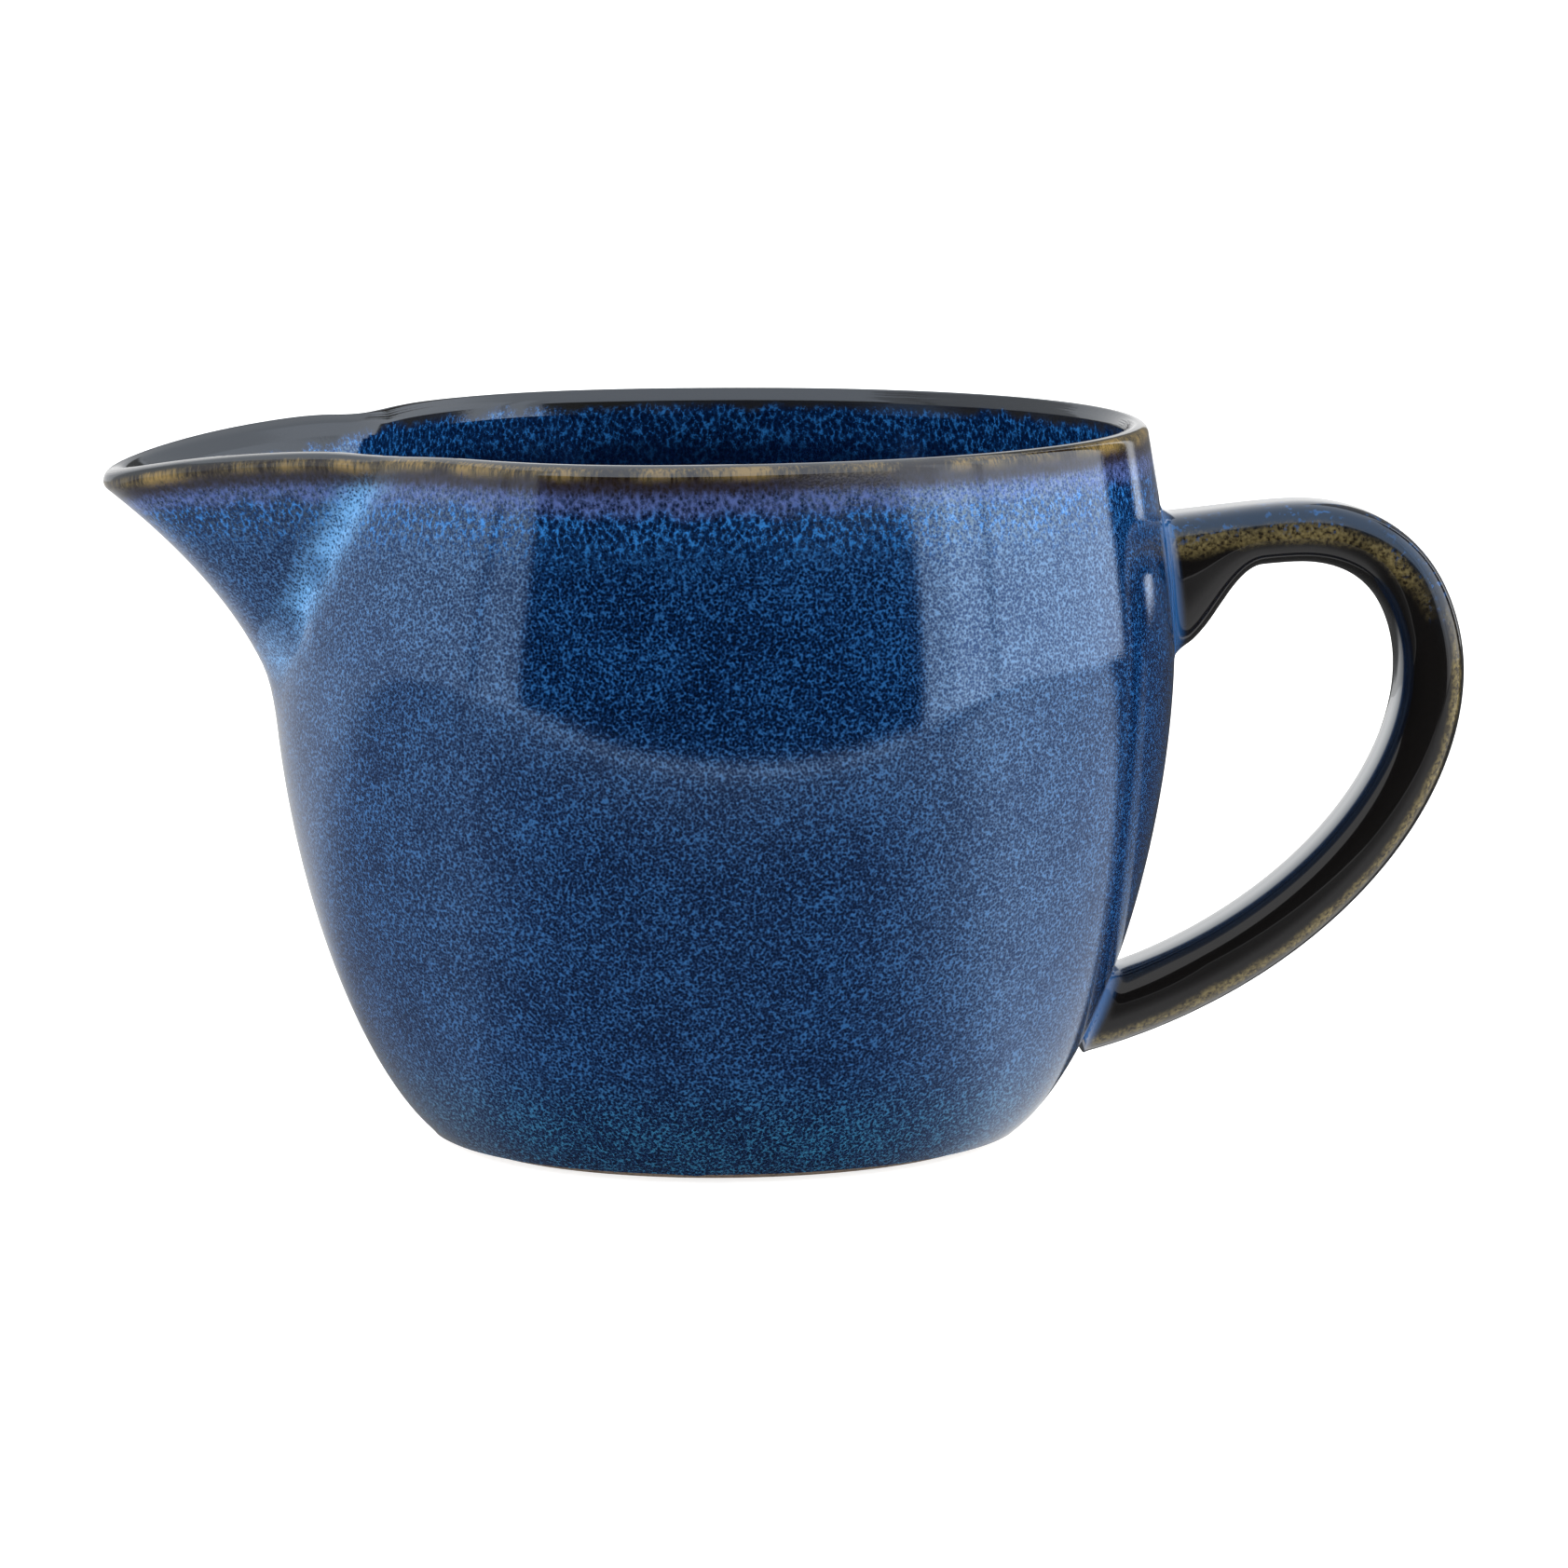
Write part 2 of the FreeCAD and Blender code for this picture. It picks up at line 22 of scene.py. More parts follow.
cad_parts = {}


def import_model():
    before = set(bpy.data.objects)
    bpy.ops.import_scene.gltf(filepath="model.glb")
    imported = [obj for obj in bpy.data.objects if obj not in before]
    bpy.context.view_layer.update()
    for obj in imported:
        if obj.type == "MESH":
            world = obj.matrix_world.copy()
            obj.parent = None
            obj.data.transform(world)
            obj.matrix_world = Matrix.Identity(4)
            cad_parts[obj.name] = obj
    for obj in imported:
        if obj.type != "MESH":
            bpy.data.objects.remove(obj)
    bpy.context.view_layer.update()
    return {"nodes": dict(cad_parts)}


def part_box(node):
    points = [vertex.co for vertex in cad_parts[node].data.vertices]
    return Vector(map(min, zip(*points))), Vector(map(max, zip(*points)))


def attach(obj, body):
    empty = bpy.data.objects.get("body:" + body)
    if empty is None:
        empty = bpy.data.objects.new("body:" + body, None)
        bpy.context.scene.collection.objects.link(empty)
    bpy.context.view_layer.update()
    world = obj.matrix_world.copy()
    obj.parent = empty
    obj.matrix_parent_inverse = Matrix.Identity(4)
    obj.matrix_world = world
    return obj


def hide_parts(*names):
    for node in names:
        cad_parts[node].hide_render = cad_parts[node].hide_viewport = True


Array = np.ndarray
Socket = bpy.types.NodeSocket
LOG = logging.getLogger("pitcher")
MM = 0.001


# ---------------------------------------------------------------------------------------------
# Grids and meshes
# ---------------------------------------------------------------------------------------------


def smoothstep(x: Array) -> Array:
    """3x^2 - 2x^3, held at 0 below 0 and at 1 above 1."""
    x = np.clip(x, 0.0, 1.0)
    return x * x * (3.0 - 2.0 * x)


def bezier(points: tuple[Array, Array, Array, Array], t: Array) -> tuple[Array, Array]:
    """A cubic Bezier curve, and its unit direction, at every t.

    The point is the sum of the four control points weighted by (1-t)^3, 3(1-t)^2 t, 3(1-t)t^2
    and t^3. The direction is the same with the differences of neighbours and (1-t)^2, 2(1-t)t, t^2.

    Args:
        points: The four control points, each an array whose last axis is x, y, z.
        t: Places along the curve, from 0 to 1.

    Returns:
        Points and unit directions, with the axis of t first.
    """
    a, b, c, d = (np.asarray(p, float) for p in points)
    t = t.reshape((-1,) + (1,) * a.ndim)
    s = 1.0 - t
    place = a * s**3 + b * 3 * s * s * t + c * 3 * s * t * t + d * t**3
    slope = (b - a) * s * s + (c - b) * 2 * s * t + (d - c) * t * t
    return place, slope / np.linalg.norm(slope, axis=-1, keepdims=True)


@dataclass
class Skin:
    """A closed surface: rings of points, with a pole at each end.

    Attributes:
        rings: Points in millimetres, as rings x points round x 3.
        marks: Named numbers at each point of the rings, for the materials to read.
    """

    rings: Array
    marks: dict[str, Array] = field(default_factory=dict)

    def corners(self) -> tuple[Array, Array]:
        """Faces between neighbouring rings, and the triangles that close the two poles.

        Point j of ring i has the number i n + j, and the poles come last. A face joins j and j+1
        of ring i to the same two of ring i+1, and the last point's neighbour is the first.

        Returns:
            Quadrilaterals as N x 4 and triangles as M x 3 vertex numbers.
        """
        rows, n = self.rings.shape[:2]
        j = np.arange(n)
        k = (j + 1) % n
        base = (np.arange(rows - 1) * n)[:, None]
        quads = np.stack([base + j, base + k, base + n + k, base + n + j], axis=-1).reshape(-1, 4)
        first, last, end = rows * n, rows * n + 1, (rows - 1) * n
        caps = [np.stack([k, j, np.full(n, first)], -1), np.stack([end + j, end + k, np.full(n, last)], -1)]
        return quads, np.concatenate(caps)

    def volume(self, points: Array, quads: Array, triangles: Array) -> float:
        """Signed volume: a sixth of the sum of a . (b x c) over the triangles.

        Args:
            points: All points, as P x 3.
            quads: Quadrilaterals, as N x 4 vertex numbers.
            triangles: Triangles, as M x 3 vertex numbers.

        Returns:
            The volume, which is below 0 where the faces point inwards.
        """
        halves = np.concatenate([quads[:, [0, 1, 2]], quads[:, [0, 2, 3]], triangles])
        a, b, c = (points[halves[:, i]] for i in range(3))
        return float(np.einsum("ij,ij->i", a, np.cross(b, c)).sum() / 6.0)

    def build(self, name: str) -> bpy.types.Object:
        """Makes the Blender object, with faces that point outwards and a float layer per mark.

        Args:
            name: The piece's name.

        Returns:
            The object, at the origin, in the scene.
        """
        poles = np.stack([self.rings[0].mean(0), self.rings[-1].mean(0)])
        points = np.concatenate([self.rings.reshape(-1, 3), poles])
        quads, triangles = self.corners()
        if self.volume(points, quads, triangles) < 0:
            quads, triangles = quads[:, ::-1], triangles[:, ::-1]
        mesh = bpy.data.meshes.new(name)
        mesh.vertices.add(len(points))
        mesh.vertices.foreach_set("co", (points * MM).ravel())
        corners = np.concatenate([quads.ravel(), triangles.ravel()]).astype(np.int32)
        sizes = np.concatenate([np.full(len(quads), 4), np.full(len(triangles), 3)])
        starts = np.concatenate([[0], np.cumsum(sizes)[:-1]]).astype(np.int32)
        mesh.loops.add(len(corners))
        mesh.loops.foreach_set("vertex_index", corners)
        mesh.polygons.add(len(sizes))
        mesh.polygons.foreach_set("loop_start", starts)
        mesh.polygons.foreach_set("use_smooth", np.ones(len(sizes), bool))
        mesh.update(calc_edges=True)
        for label, values in self.marks.items():
            ends = [values[0].mean(), values[-1].mean()]
            layer = mesh.attributes.new(label, "FLOAT", "POINT")
            layer.data.foreach_set("value", np.concatenate([values.ravel(), ends]).astype(np.float32))
        mesh.validate()
        piece = bpy.data.objects.new(name, mesh)
        bpy.context.scene.collection.objects.link(piece)
        return piece


# ---------------------------------------------------------------------------------------------
# The vessel's outline
# ---------------------------------------------------------------------------------------------


@dataclass(frozen=True)
class Outline:
    """The outside of the glazed vessel: a round bowl with a beak melted into it.

    The sizes with defaults are the ones that the clay is formed to, and each is used by the method
    that is named for its part of the shape.

    Attributes:
        rim_height: Table to the crest of the lip, from the frame.
        belly_radius: The bowl's largest radius, from the frame.
    """

    rim_height: float
    belly_radius: float
    foot_radius: float = 33.2
    belly_height: float = 59.4
    mouth_radius: float = 51.2
    foot_fullness: float = 1.757
    belly_fullness: float = 1.552
    shoulder_ease: float = 1.355
    spout_drop: float = 31.3
    spout_slope: float = 0.35
    spout_flare: float = 11.15
    flare_rise: float = 25.0
    nose_root: float = 19.0
    nose_lip: float = 4.8
    beak_angle_root: float = math.radians(24.5)
    beak_angle_lip: float = math.radians(29)
    cheek_swell: float = 2.3
    cheek_bearing: float = math.radians(67)
    cheek_span: float = math.radians(20)
    crease_blend: float = 1.3
    beak_limit: float = math.radians(80)
    dip_start: float = 35.0
    dip_depth: float = 4.3
    dip_reach: float = 74.0
    dip_power: float = 2.67
    sag_depth: float = 0.45
    sag_out: float = 41.9
    sag_span: float = 4.6
    glaze: float = 0.45
    lip_glaze: float = 0.3
    lip_clay: float = 2.1
    wall_clay: float = 3.3
    thin_band: float = 22.0
    lip_passes: int = 14

    @property
    def lip_half(self) -> float:
        """Half the thickness of the glazed lip."""
        return self.lip_clay / 2 + self.glaze

    @property
    def lip_rise(self) -> float:
        """Height of the lip's crest over the top of the wall."""
        return self.lip_clay / 2 + self.lip_glaze

    @property
    def spout_root(self) -> float:
        """Height where the beak leaves the wall."""
        return self.rim_height - self.spout_drop

    def bowl_radius(self, z: Array) -> Array:
        """Radius of the round bowl at height z.

        Below the belly it is foot + (belly - foot) (1 - (1 - z/h)^p)^(1/q), with h the belly's
        height. Above it, it falls by (belly - mouth) times the share of the way up to a power.

        Args:
            z: Heights over the table.

        Returns:
            The radii.
        """
        z = np.asarray(z, float)
        below = 1.0 - np.clip(z, 0.0, self.belly_height) / self.belly_height
        share = np.clip(1.0 - below**self.foot_fullness, 0.0, 1.0) ** (1.0 / self.belly_fullness)
        low = self.foot_radius + (self.belly_radius - self.foot_radius) * share
        above = np.clip(z - self.belly_height, 0.0, None) / (self.rim_height - self.belly_height)
        high = self.belly_radius - (self.belly_radius - self.mouth_radius) * above**self.shoulder_ease
        return np.where(z < self.belly_height, low, high)

    def wall_radius(self, phi: Array, z: Array) -> Array:
        """Radius of the bowl's wall, with the cheeks that swell out beside the beak.

        A cheek adds a bell curve of the bearing, which grows with the square of the share of the
        way from the beak's root up to the lip.

        Args:
            phi: Bearings from -pi to pi.
            z: Heights.

        Returns:
            The radii.
        """
        share = np.clip((z - self.spout_root) / self.spout_drop, 0.0, 1.0)
        bell = np.exp(-(((np.abs(phi) - self.cheek_bearing) / self.cheek_span) ** 2))
        return self.bowl_radius(z) + self.cheek_swell * share**2 * bell

    def beak_radius(self, phi: Array, z: Array) -> Array:
        """Radius of the beak at a bearing and height.

        In plan the beak is a hyperbola w^2 = 2 n s + m s^2, with s the distance back from its tip,
        w the half width, n the nose's radius and m the square of the half angle's tangent. The tip
        runs out from the wall at a slope that grows with height. Put in polar form, it is solved
        for the distance from the axis.

        Args:
            phi: Bearings within the beak's limit.
            z: Heights.

        Returns:
            The radii.
        """
        rise = z - self.spout_root
        reach = self.bowl_radius(self.spout_root) + self.spout_slope * rise
        reach = reach + self.spout_flare * (np.clip(rise, 0.0, None) / self.flare_rise) ** 2
        share = np.clip(rise / self.spout_drop, 0.0, 1.0)
        nose = self.nose_root + (self.nose_lip - self.nose_root) * share
        angle = self.beak_angle_root + (self.beak_angle_lip - self.beak_angle_root) * share
        spread = np.tan(angle) ** 2
        c = np.cos(phi)
        side = np.sin(phi) ** 2 - spread * c * c
        front = c * (nose + spread * reach)
        tip = 2 * nose * reach + spread * reach * reach
        return tip / (front + np.sqrt(np.clip(front * front + side * tip, 0.0, None)))

    @staticmethod
    def folded(phi: Array, z: Array) -> tuple[Array, Array]:
        """Bearings brought to 0 to pi, because both sides are alike, and heights of that shape."""
        phi = np.abs((phi + math.pi) % (2 * math.pi) - math.pi)
        return np.broadcast_arrays(phi, np.asarray(z, float))

    def radius(self, phi: Array, z: Array) -> Array:
        """The larger of bowl and beak, plus (b - d)^2 / 4b where they differ by d, less than b.

        Args:
            phi: Bearings, of any number of turns.
            z: Heights.

        Returns:
            The radii.
        """
        phi, z = self.folded(phi, z)
        bowl = self.wall_radius(phi, z)
        beak = np.where(phi < self.beak_limit, self.beak_radius(np.minimum(phi, self.beak_limit), z), 0.0)
        near = np.clip(self.crease_blend - np.abs(bowl - beak), 0.0, None)
        return np.maximum(bowl, beak) + near * near / (4 * self.crease_blend)

    def crease(self, phi: Array, z: Array) -> Array:
        """Beak radius less bowl radius, in millimetres, and -99 where there is no beak.

        Args:
            phi: Bearings, of any number of turns.
            z: Heights.

        Returns:
            The differences, which are 0 along the crease.
        """
        phi, z = self.folded(phi, z)
        gap = self.beak_radius(np.minimum(phi, self.beak_limit), z) - self.wall_radius(phi, z)
        return np.where(phi < self.beak_limit, gap, -99.0)

    def point(self, phi: Array, z: Array) -> Array:
        """The outline's point: (-r cos phi, r sin phi, z)."""
        r = self.radius(phi, z)
        return np.stack(np.broadcast_arrays(-r * np.cos(phi), r * np.sin(phi), z), axis=-1)

    def frame(self, phi: Array, z: Array) -> tuple[Array, Array, Array]:
        """Points, outward normals and upward tangents, from differences over a small step.

        Args:
            phi: Bearings.
            z: Heights.

        Returns:
            Points, unit normals and unit tangents, with x, y, z last.
        """
        step = 1e-3
        up = self.point(phi, z + step) - self.point(phi, z - step)
        across = self.point(phi + step, z) - self.point(phi - step, z)
        normal = np.cross(up, across)
        normal /= np.linalg.norm(normal, axis=-1, keepdims=True)
        up /= np.linalg.norm(up, axis=-1, keepdims=True)
        return self.point(phi, z), normal, up

    def wall_top(self, phi: Array) -> Array:
        """Height at which the wall hands over to the lip, so that the crest falls along the beak.

        The crest of the half-ellipse lip is the middle's height plus the root of (a n_z)^2 +
        (b t_z)^2, with a and b its half axes along the wall's normal n and tangent t. The height
        is moved by what the crest misses until it settles. The crest falls by a power of the
        distance from the axis, and by a small sag at the crease.

        Args:
            phi: Bearings.

        Returns:
            The height at each bearing.
        """
        z = np.full_like(phi, self.rim_height - self.lip_rise)
        for _ in range(self.lip_passes):
            point, normal, tangent = self.frame(phi, z)
            middle = point - normal * self.lip_half
            crest = middle[:, 2] + np.hypot(self.lip_half * normal[:, 2], self.lip_rise * tangent[:, 2])
            out = -middle[:, 0]
            share = np.clip(out - self.dip_start, 0.0, None) / (self.dip_reach - self.dip_start)
            fall = self.dip_depth * share**self.dip_power
            fall = fall + self.sag_depth * np.exp(-(((out - self.sag_out) / self.sag_span) ** 2))
            z = z + self.rim_height - fall - crest
        return z

    def clay(self, z: Array, top: Array) -> Array:
        """Thickness of the clay: thin at the lip, and thicker by the bottom of the thin band."""
        return self.lip_clay + (self.wall_clay - self.lip_clay) * smoothstep((top - z) / self.thin_band)


# ---------------------------------------------------------------------------------------------
# Finishes
# ---------------------------------------------------------------------------------------------


class Tree:
    """A material's node tree, with short ways to add and join nodes."""

    def __init__(self, name: str) -> None:
        """Starts a material with one shader and the Object coordinates.

        Args:
            name: The material's name.
        """
        self.material = bpy.data.materials.new(name)
        self.material.use_nodes = True
        self.nodes = self.material.node_tree.nodes
        self.links = self.material.node_tree.links
        self.nodes.clear()
        self.shader = self.nodes.new("ShaderNodeBsdfPrincipled")
        out = self.nodes.new("ShaderNodeOutputMaterial")
        self.links.new(self.shader.outputs[0], out.inputs["Surface"])
        self.place = self.nodes.new("ShaderNodeTexCoord").outputs["Object"]

    def feed(self, socket: Socket, value: object) -> None:
        """Joins an output to a socket, or sets the socket to a number or colour.

        Args:
            socket: The input.
            value: An output, a number or a colour of three numbers.
        """
        if isinstance(value, Socket):
            self.links.new(value, socket)
        elif isinstance(value, tuple) and len(value) == 3 and len(socket.default_value) == 4:
            socket.default_value = (*value, 1.0)
        else:
            socket.default_value = value

    def math(self, kind: str, a: object, b: object) -> Socket:
        """A Math node of one kind on two inputs.

        Args:
            kind: The node's operation.
            a: First output or number.
            b: Second output or number.

        Returns:
            The result.
        """
        node = self.nodes.new("ShaderNodeMath")
        node.operation = kind
        self.feed(node.inputs[0], a)
        self.feed(node.inputs[1], b)
        return node.outputs[0]

    def times(self, a: object, b: object) -> Socket:
        """The product of two inputs."""
        return self.math("MULTIPLY", a, b)

    def less(self, a: object, b: object) -> Socket:
        """The first input less the second."""
        return self.math("SUBTRACT", a, b)

    def total(self, first: object, *others: object) -> Socket:
        """The sum of all inputs.

        Args:
            first: An output or number.
            *others: More of them, added in turn.

        Returns:
            The sum.
        """
        for other in others:
            first = self.math("ADD", first, other)
        return first

    def swing(self, cloud: Socket, span: float) -> Socket:
        """A cloud that runs from 0 to 1, made to run from -span/2 to span/2."""
        return self.times(self.less(cloud, 0.5), span)

    def ramp(self, factor: object, stops: list[tuple[float, tuple[float, float, float]]]) -> Socket:
        """A colour ramp.

        Args:
            factor: The output or number that is looked up.
            stops: Pairs of (place, colour), from the lowest place up.

        Returns:
            The colour.
        """
        node = self.nodes.new("ShaderNodeValToRGB")
        elements = node.color_ramp.elements
        while len(elements) < len(stops):
            elements.new(0.5)
        for element, (place, colour) in zip(elements, stops):
            element.position = place
            element.color = (*colour, 1.0)
        self.feed(node.inputs[0], factor)
        return node.outputs[0]

    def fade(self, value: object, start: float, end: float) -> Socket:
        """0 at start, 1 at end and an eased rise between, with start above end for a fall.

        Args:
            value: The output that is measured.
            start: Where the result is 0.
            end: Where the result is 1.

        Returns:
            The result, from 0 to 1.
        """
        node = self.nodes.new("ShaderNodeMapRange")
        node.interpolation_type = "SMOOTHSTEP"
        self.feed(node.inputs["Value"], value)
        if start < end:
            node.inputs["From Min"].default_value, node.inputs["From Max"].default_value = start, end
        else:
            node.inputs["From Min"].default_value, node.inputs["From Max"].default_value = end, start
            node.inputs["To Min"].default_value, node.inputs["To Max"].default_value = 1.0, 0.0
        return node.outputs[0]

    def mix(self, factor: object, a: object, b: object) -> Socket:
        """Colour a turned into colour b.

        Args:
            factor: How far, from 0 to 1.
            a: First colour.
            b: Second colour.

        Returns:
            The colour between them.
        """
        node = self.nodes.new("ShaderNodeMix")
        node.data_type = "RGBA"
        self.feed(node.inputs[0], factor)
        self.feed(node.inputs[6], a)
        self.feed(node.inputs[7], b)
        return node.outputs[2]

    def bump(
        self, height: Socket, strength: float, distance: float, normal: Socket | None = None
    ) -> Socket:
        """A normal tilted by the slope of a height.

        Args:
            height: The height, in units of distance.
            strength: Share of the tilt, from 0 to 1.
            distance: What a height of 1 means, in metres.
            normal: The normal that is tilted, which is the mesh's own if left out.

        Returns:
            The tilted normal.
        """
        node = self.nodes.new("ShaderNodeBump")
        node.inputs["Strength"].default_value = strength
        node.inputs["Distance"].default_value = distance
        self.links.new(height, node.inputs["Height"])
        if normal is not None:
            self.links.new(normal, node.inputs["Normal"])
        return node.outputs[0]

    def axis(self, number: int) -> Socket:
        """One of the Object coordinates.

        Args:
            number: 0 for x, 1 for y and 2 for z.

        Returns:
            The coordinate, in metres.
        """
        split = self.nodes.new("ShaderNodeSeparateXYZ")
        self.links.new(self.place, split.inputs[0])
        return split.outputs[number]

    def mark(self, name: str) -> Socket:
        """A number that the piece's mesh carries at its points.

        Args:
            name: The mark's name.

        Returns:
            The number.
        """
        node = self.nodes.new("ShaderNodeAttribute")
        node.attribute_name = name
        return node.outputs["Fac"]

    def stretched(self, stretch: tuple[float, float, float]) -> Socket:
        """Object coordinates, scaled, so that a share under 1 makes a pattern longer.

        Args:
            stretch: The scale of x, y and z.

        Returns:
            The coordinates.
        """
        node = self.nodes.new("ShaderNodeMapping")
        node.vector_type = "POINT"
        node.inputs["Scale"].default_value = stretch
        self.links.new(self.place, node.inputs["Vector"])
        return node.outputs[0]

    def noise(
        self, size: float, detail: float = 2.0, rough: float = 0.5, where: Socket | None = None
    ) -> Socket:
        """Cloudy noise from 0 to 1.

        Args:
            size: Width of its features, in millimetres.
            detail: How many finer layers it has.
            rough: How strong the finer layers are.
            where: The coordinates, which are the Object ones if left out.

        Returns:
            The noise.
        """
        node = self.nodes.new("ShaderNodeTexNoise")
        node.inputs["Scale"].default_value = 1.0 / (size * MM)
        node.inputs["Detail"].default_value = detail
        node.inputs["Roughness"].default_value = rough
        self.links.new(where or self.place, node.inputs["Vector"])
        return node.outputs[0]

    def cells(self, size: float, where: Socket | None = None) -> Socket:
        """Distance from the middle of the nearest cell, in cells.

        Args:
            size: Width of a cell, in millimetres.
            where: The coordinates, which are the Object ones if left out.

        Returns:
            The distance.
        """
        node = self.nodes.new("ShaderNodeTexVoronoi")
        node.inputs["Scale"].default_value = 1.0 / (size * MM)
        self.links.new(where or self.place, node.inputs["Vector"])
        return node.outputs["Distance"]


class Mark(str, Enum):
    """Numbers that the glaze meshes carry for their materials."""

    BELOW_LIP = "below_lip"
    INSIDE = "inside"
    CREASE = "crease"
    MELT = "melt"
    EDGE = "edge"
    FROM_WALL = "from_wall"
    TOP = "top"
    # Where the handle's highlight is painted.
    BROW = "brow"


@dataclass(frozen=True)
class Gloss:
    """How a fired glaze shines: a clear coat over a tinted gleam from the crystals under it."""

    gleam: float = 1.0
    body_ior: float = 2.4
    body_rough: float = 0.12
    coat_rough: float = 0.02
    coat: float = 0.9
    ior: float = 1.5

    def onto(self, tree: Tree) -> None:
        """Sets the shader's own sockets.

        Args:
            tree: The material's tree.
        """
        shader = tree.shader.inputs
        shader["IOR"].default_value = self.body_ior
        shader["Roughness"].default_value = self.body_rough
        shader["Specular IOR Level"].default_value = self.gleam
        shader["Coat Weight"].default_value = self.coat
        shader["Coat Roughness"].default_value = self.coat_rough
        shader["Coat IOR"].default_value = self.ior


@dataclass(frozen=True)
class SpeckledGlaze:
    """The reactive glaze of the walls.

    Navy cells sit in a paler blue net. The net thins out and turns olive brown where the glaze
    runs thin over the lip, with a violet band and then a bright band below it. In the crease of
    the beak it is paler: glaze gathered there, brightened further as a painted highlight. Inside it
    is darker, with painted shade deeper down.

    Sizes are the widths of cells, grains and clouds. A band is a pair of distances below the crest
    of the lip: where it starts to show and where it is full.
    """

    cell: float = 0.36
    long_cell: float = 0.50
    long_stretch: float = 0.68
    grain: float = 0.21
    drift_size: float = 7.0
    drift: float = 0.24
    wave_size: float = 3.2
    wave_stretch: float = 0.35
    wave: float = 3.0
    streak_size: float = 0.36
    streak_stretch: float = 0.10
    streak: float = 1.6
    patch_size: float = 8.0
    patch: float = 1.5
    shine_band: tuple[float, float] = (14.0, 7.5)
    violet_band: tuple[float, float] = (7.2, 5.0)
    brown_band: tuple[float, float] = (5.0, 3.0)
    gold_band: tuple[float, float] = (3.0, 1.6)
    crest_band: tuple[float, float] = (1.0, 0.4)
    gleam_band: tuple[float, float] = (5.0, 3.2)
    belt_start: tuple[float, float] = (2.7, 4.0)
    # belt_end: where the belt gives way to painted shade deeper inside.
    belt_end: tuple[float, float] = (6.5, 9.5)
    beak_black: float = 2.6
    beak_from_m: float = -0.038
    beak_to_m: float = -0.052
    base_from_m: float = 0.016
    base_to_m: float = 0.004
    pitting: float = 0.05
    navy: tuple[float, float, float] = (0.0005, 0.0028, 0.013)
    blue: tuple[float, float, float] = (0.0019, 0.0150, 0.060)
    strand: tuple[float, float, float] = (0.010, 0.074, 0.220)
    violet: tuple[float, float, float] = (0.060, 0.090, 0.24)
    bright: tuple[float, float, float] = (0.020, 0.14, 0.40)
    # Paler net in the beak's crease: glaze gathered thick there, brightened as a painted highlight.
    pooled_highlight: tuple[float, float, float] = (0.12, 0.32, 0.62)
    crest: tuple[float, float, float] = (0.012, 0.012, 0.011)
    amber: tuple[float, float, float] = (0.165, 0.112, 0.036)
    olive: tuple[float, float, float] = (0.050, 0.038, 0.016)
    umber: tuple[float, float, float] = (0.011, 0.007, 0.004)
    dull_gleam: tuple[float, float, float] = (0.018, 0.14, 0.46)
    keen_gleam: tuple[float, float, float] = (0.40, 0.60, 0.80)
    lip_gleam: tuple[float, float, float] = (0.14, 0.175, 0.23)
    teal: tuple[float, float, float] = (0.012, 0.115, 0.22)
    gloss: Gloss = Gloss()

    def make(self, name: str) -> bpy.types.Material:
        """Builds the material.

        The mark melt leans the normals near the lip as the glaze that has sunk there would.

        Args:
            name: The material's name.

        Returns:
            The material, which reads the marks below_lip, inside, crease and melt.
        """
        t = Tree(name)
        below, inside = t.mark(Mark.BELOW_LIP.value), t.mark(Mark.INSIDE.value)
        fine, grain = t.cells(self.cell), t.times(t.noise(self.grain, 2.0, 0.6), 0.80)
        drift = t.swing(t.noise(self.drift_size, 3.0, 0.55), self.drift)
        net = t.total(t.times(fine, 0.70), grain, drift)
        long_cells = t.cells(self.long_cell, where=t.stretched((1.0, 1.0, self.long_stretch)))
        coarse = t.total(t.times(long_cells, 0.60), grain)
        waves = t.noise(self.wave_size, 2.0, where=t.stretched((1.0, 1.0, self.wave_stretch)))
        sunk = t.total(below, t.swing(waves, self.wave))

        colour = self.wall(t, net, coarse, sunk)
        # The crease is paler: glaze gathered there, with a painted highlight over it.
        pooled_highlight = t.ramp(net, [(0.46, self.navy), (0.88, self.pooled_highlight)])
        colour = t.mix(t.times(t.mark(Mark.CREASE.value), 0.85), colour, pooled_highlight)
        streaks = t.noise(self.streak_size, 2.0, 0.5, where=t.stretched((1.0, 1.0, self.streak_stretch)))
        runs = t.total(below, t.swing(streaks, self.streak))
        colour = t.mix(inside, self.lip(t, colour, below, runs, streaks), self.inner(t, coarse, sunk))
        t.feed(t.shader.inputs["Base Color"], colour)

        gleam = t.ramp(net, [(0.56, self.dull_gleam), (0.96, self.keen_gleam)])
        near_lip = t.fade(t.mix(inside, runs, t.less(sunk, self.beak_shift(t))), *self.gleam_band)
        t.feed(t.shader.inputs["Specular Tint"], t.mix(near_lip, gleam, self.lip_gleam))

        rounded = t.bump(t.mark(Mark.MELT.value), 1.0, MM)
        t.links.new(rounded, t.shader.inputs["Normal"])
        t.links.new(t.bump(net, 0.10, self.pitting * MM, rounded), t.shader.inputs["Coat Normal"])
        self.gloss.onto(t)
        return t.material

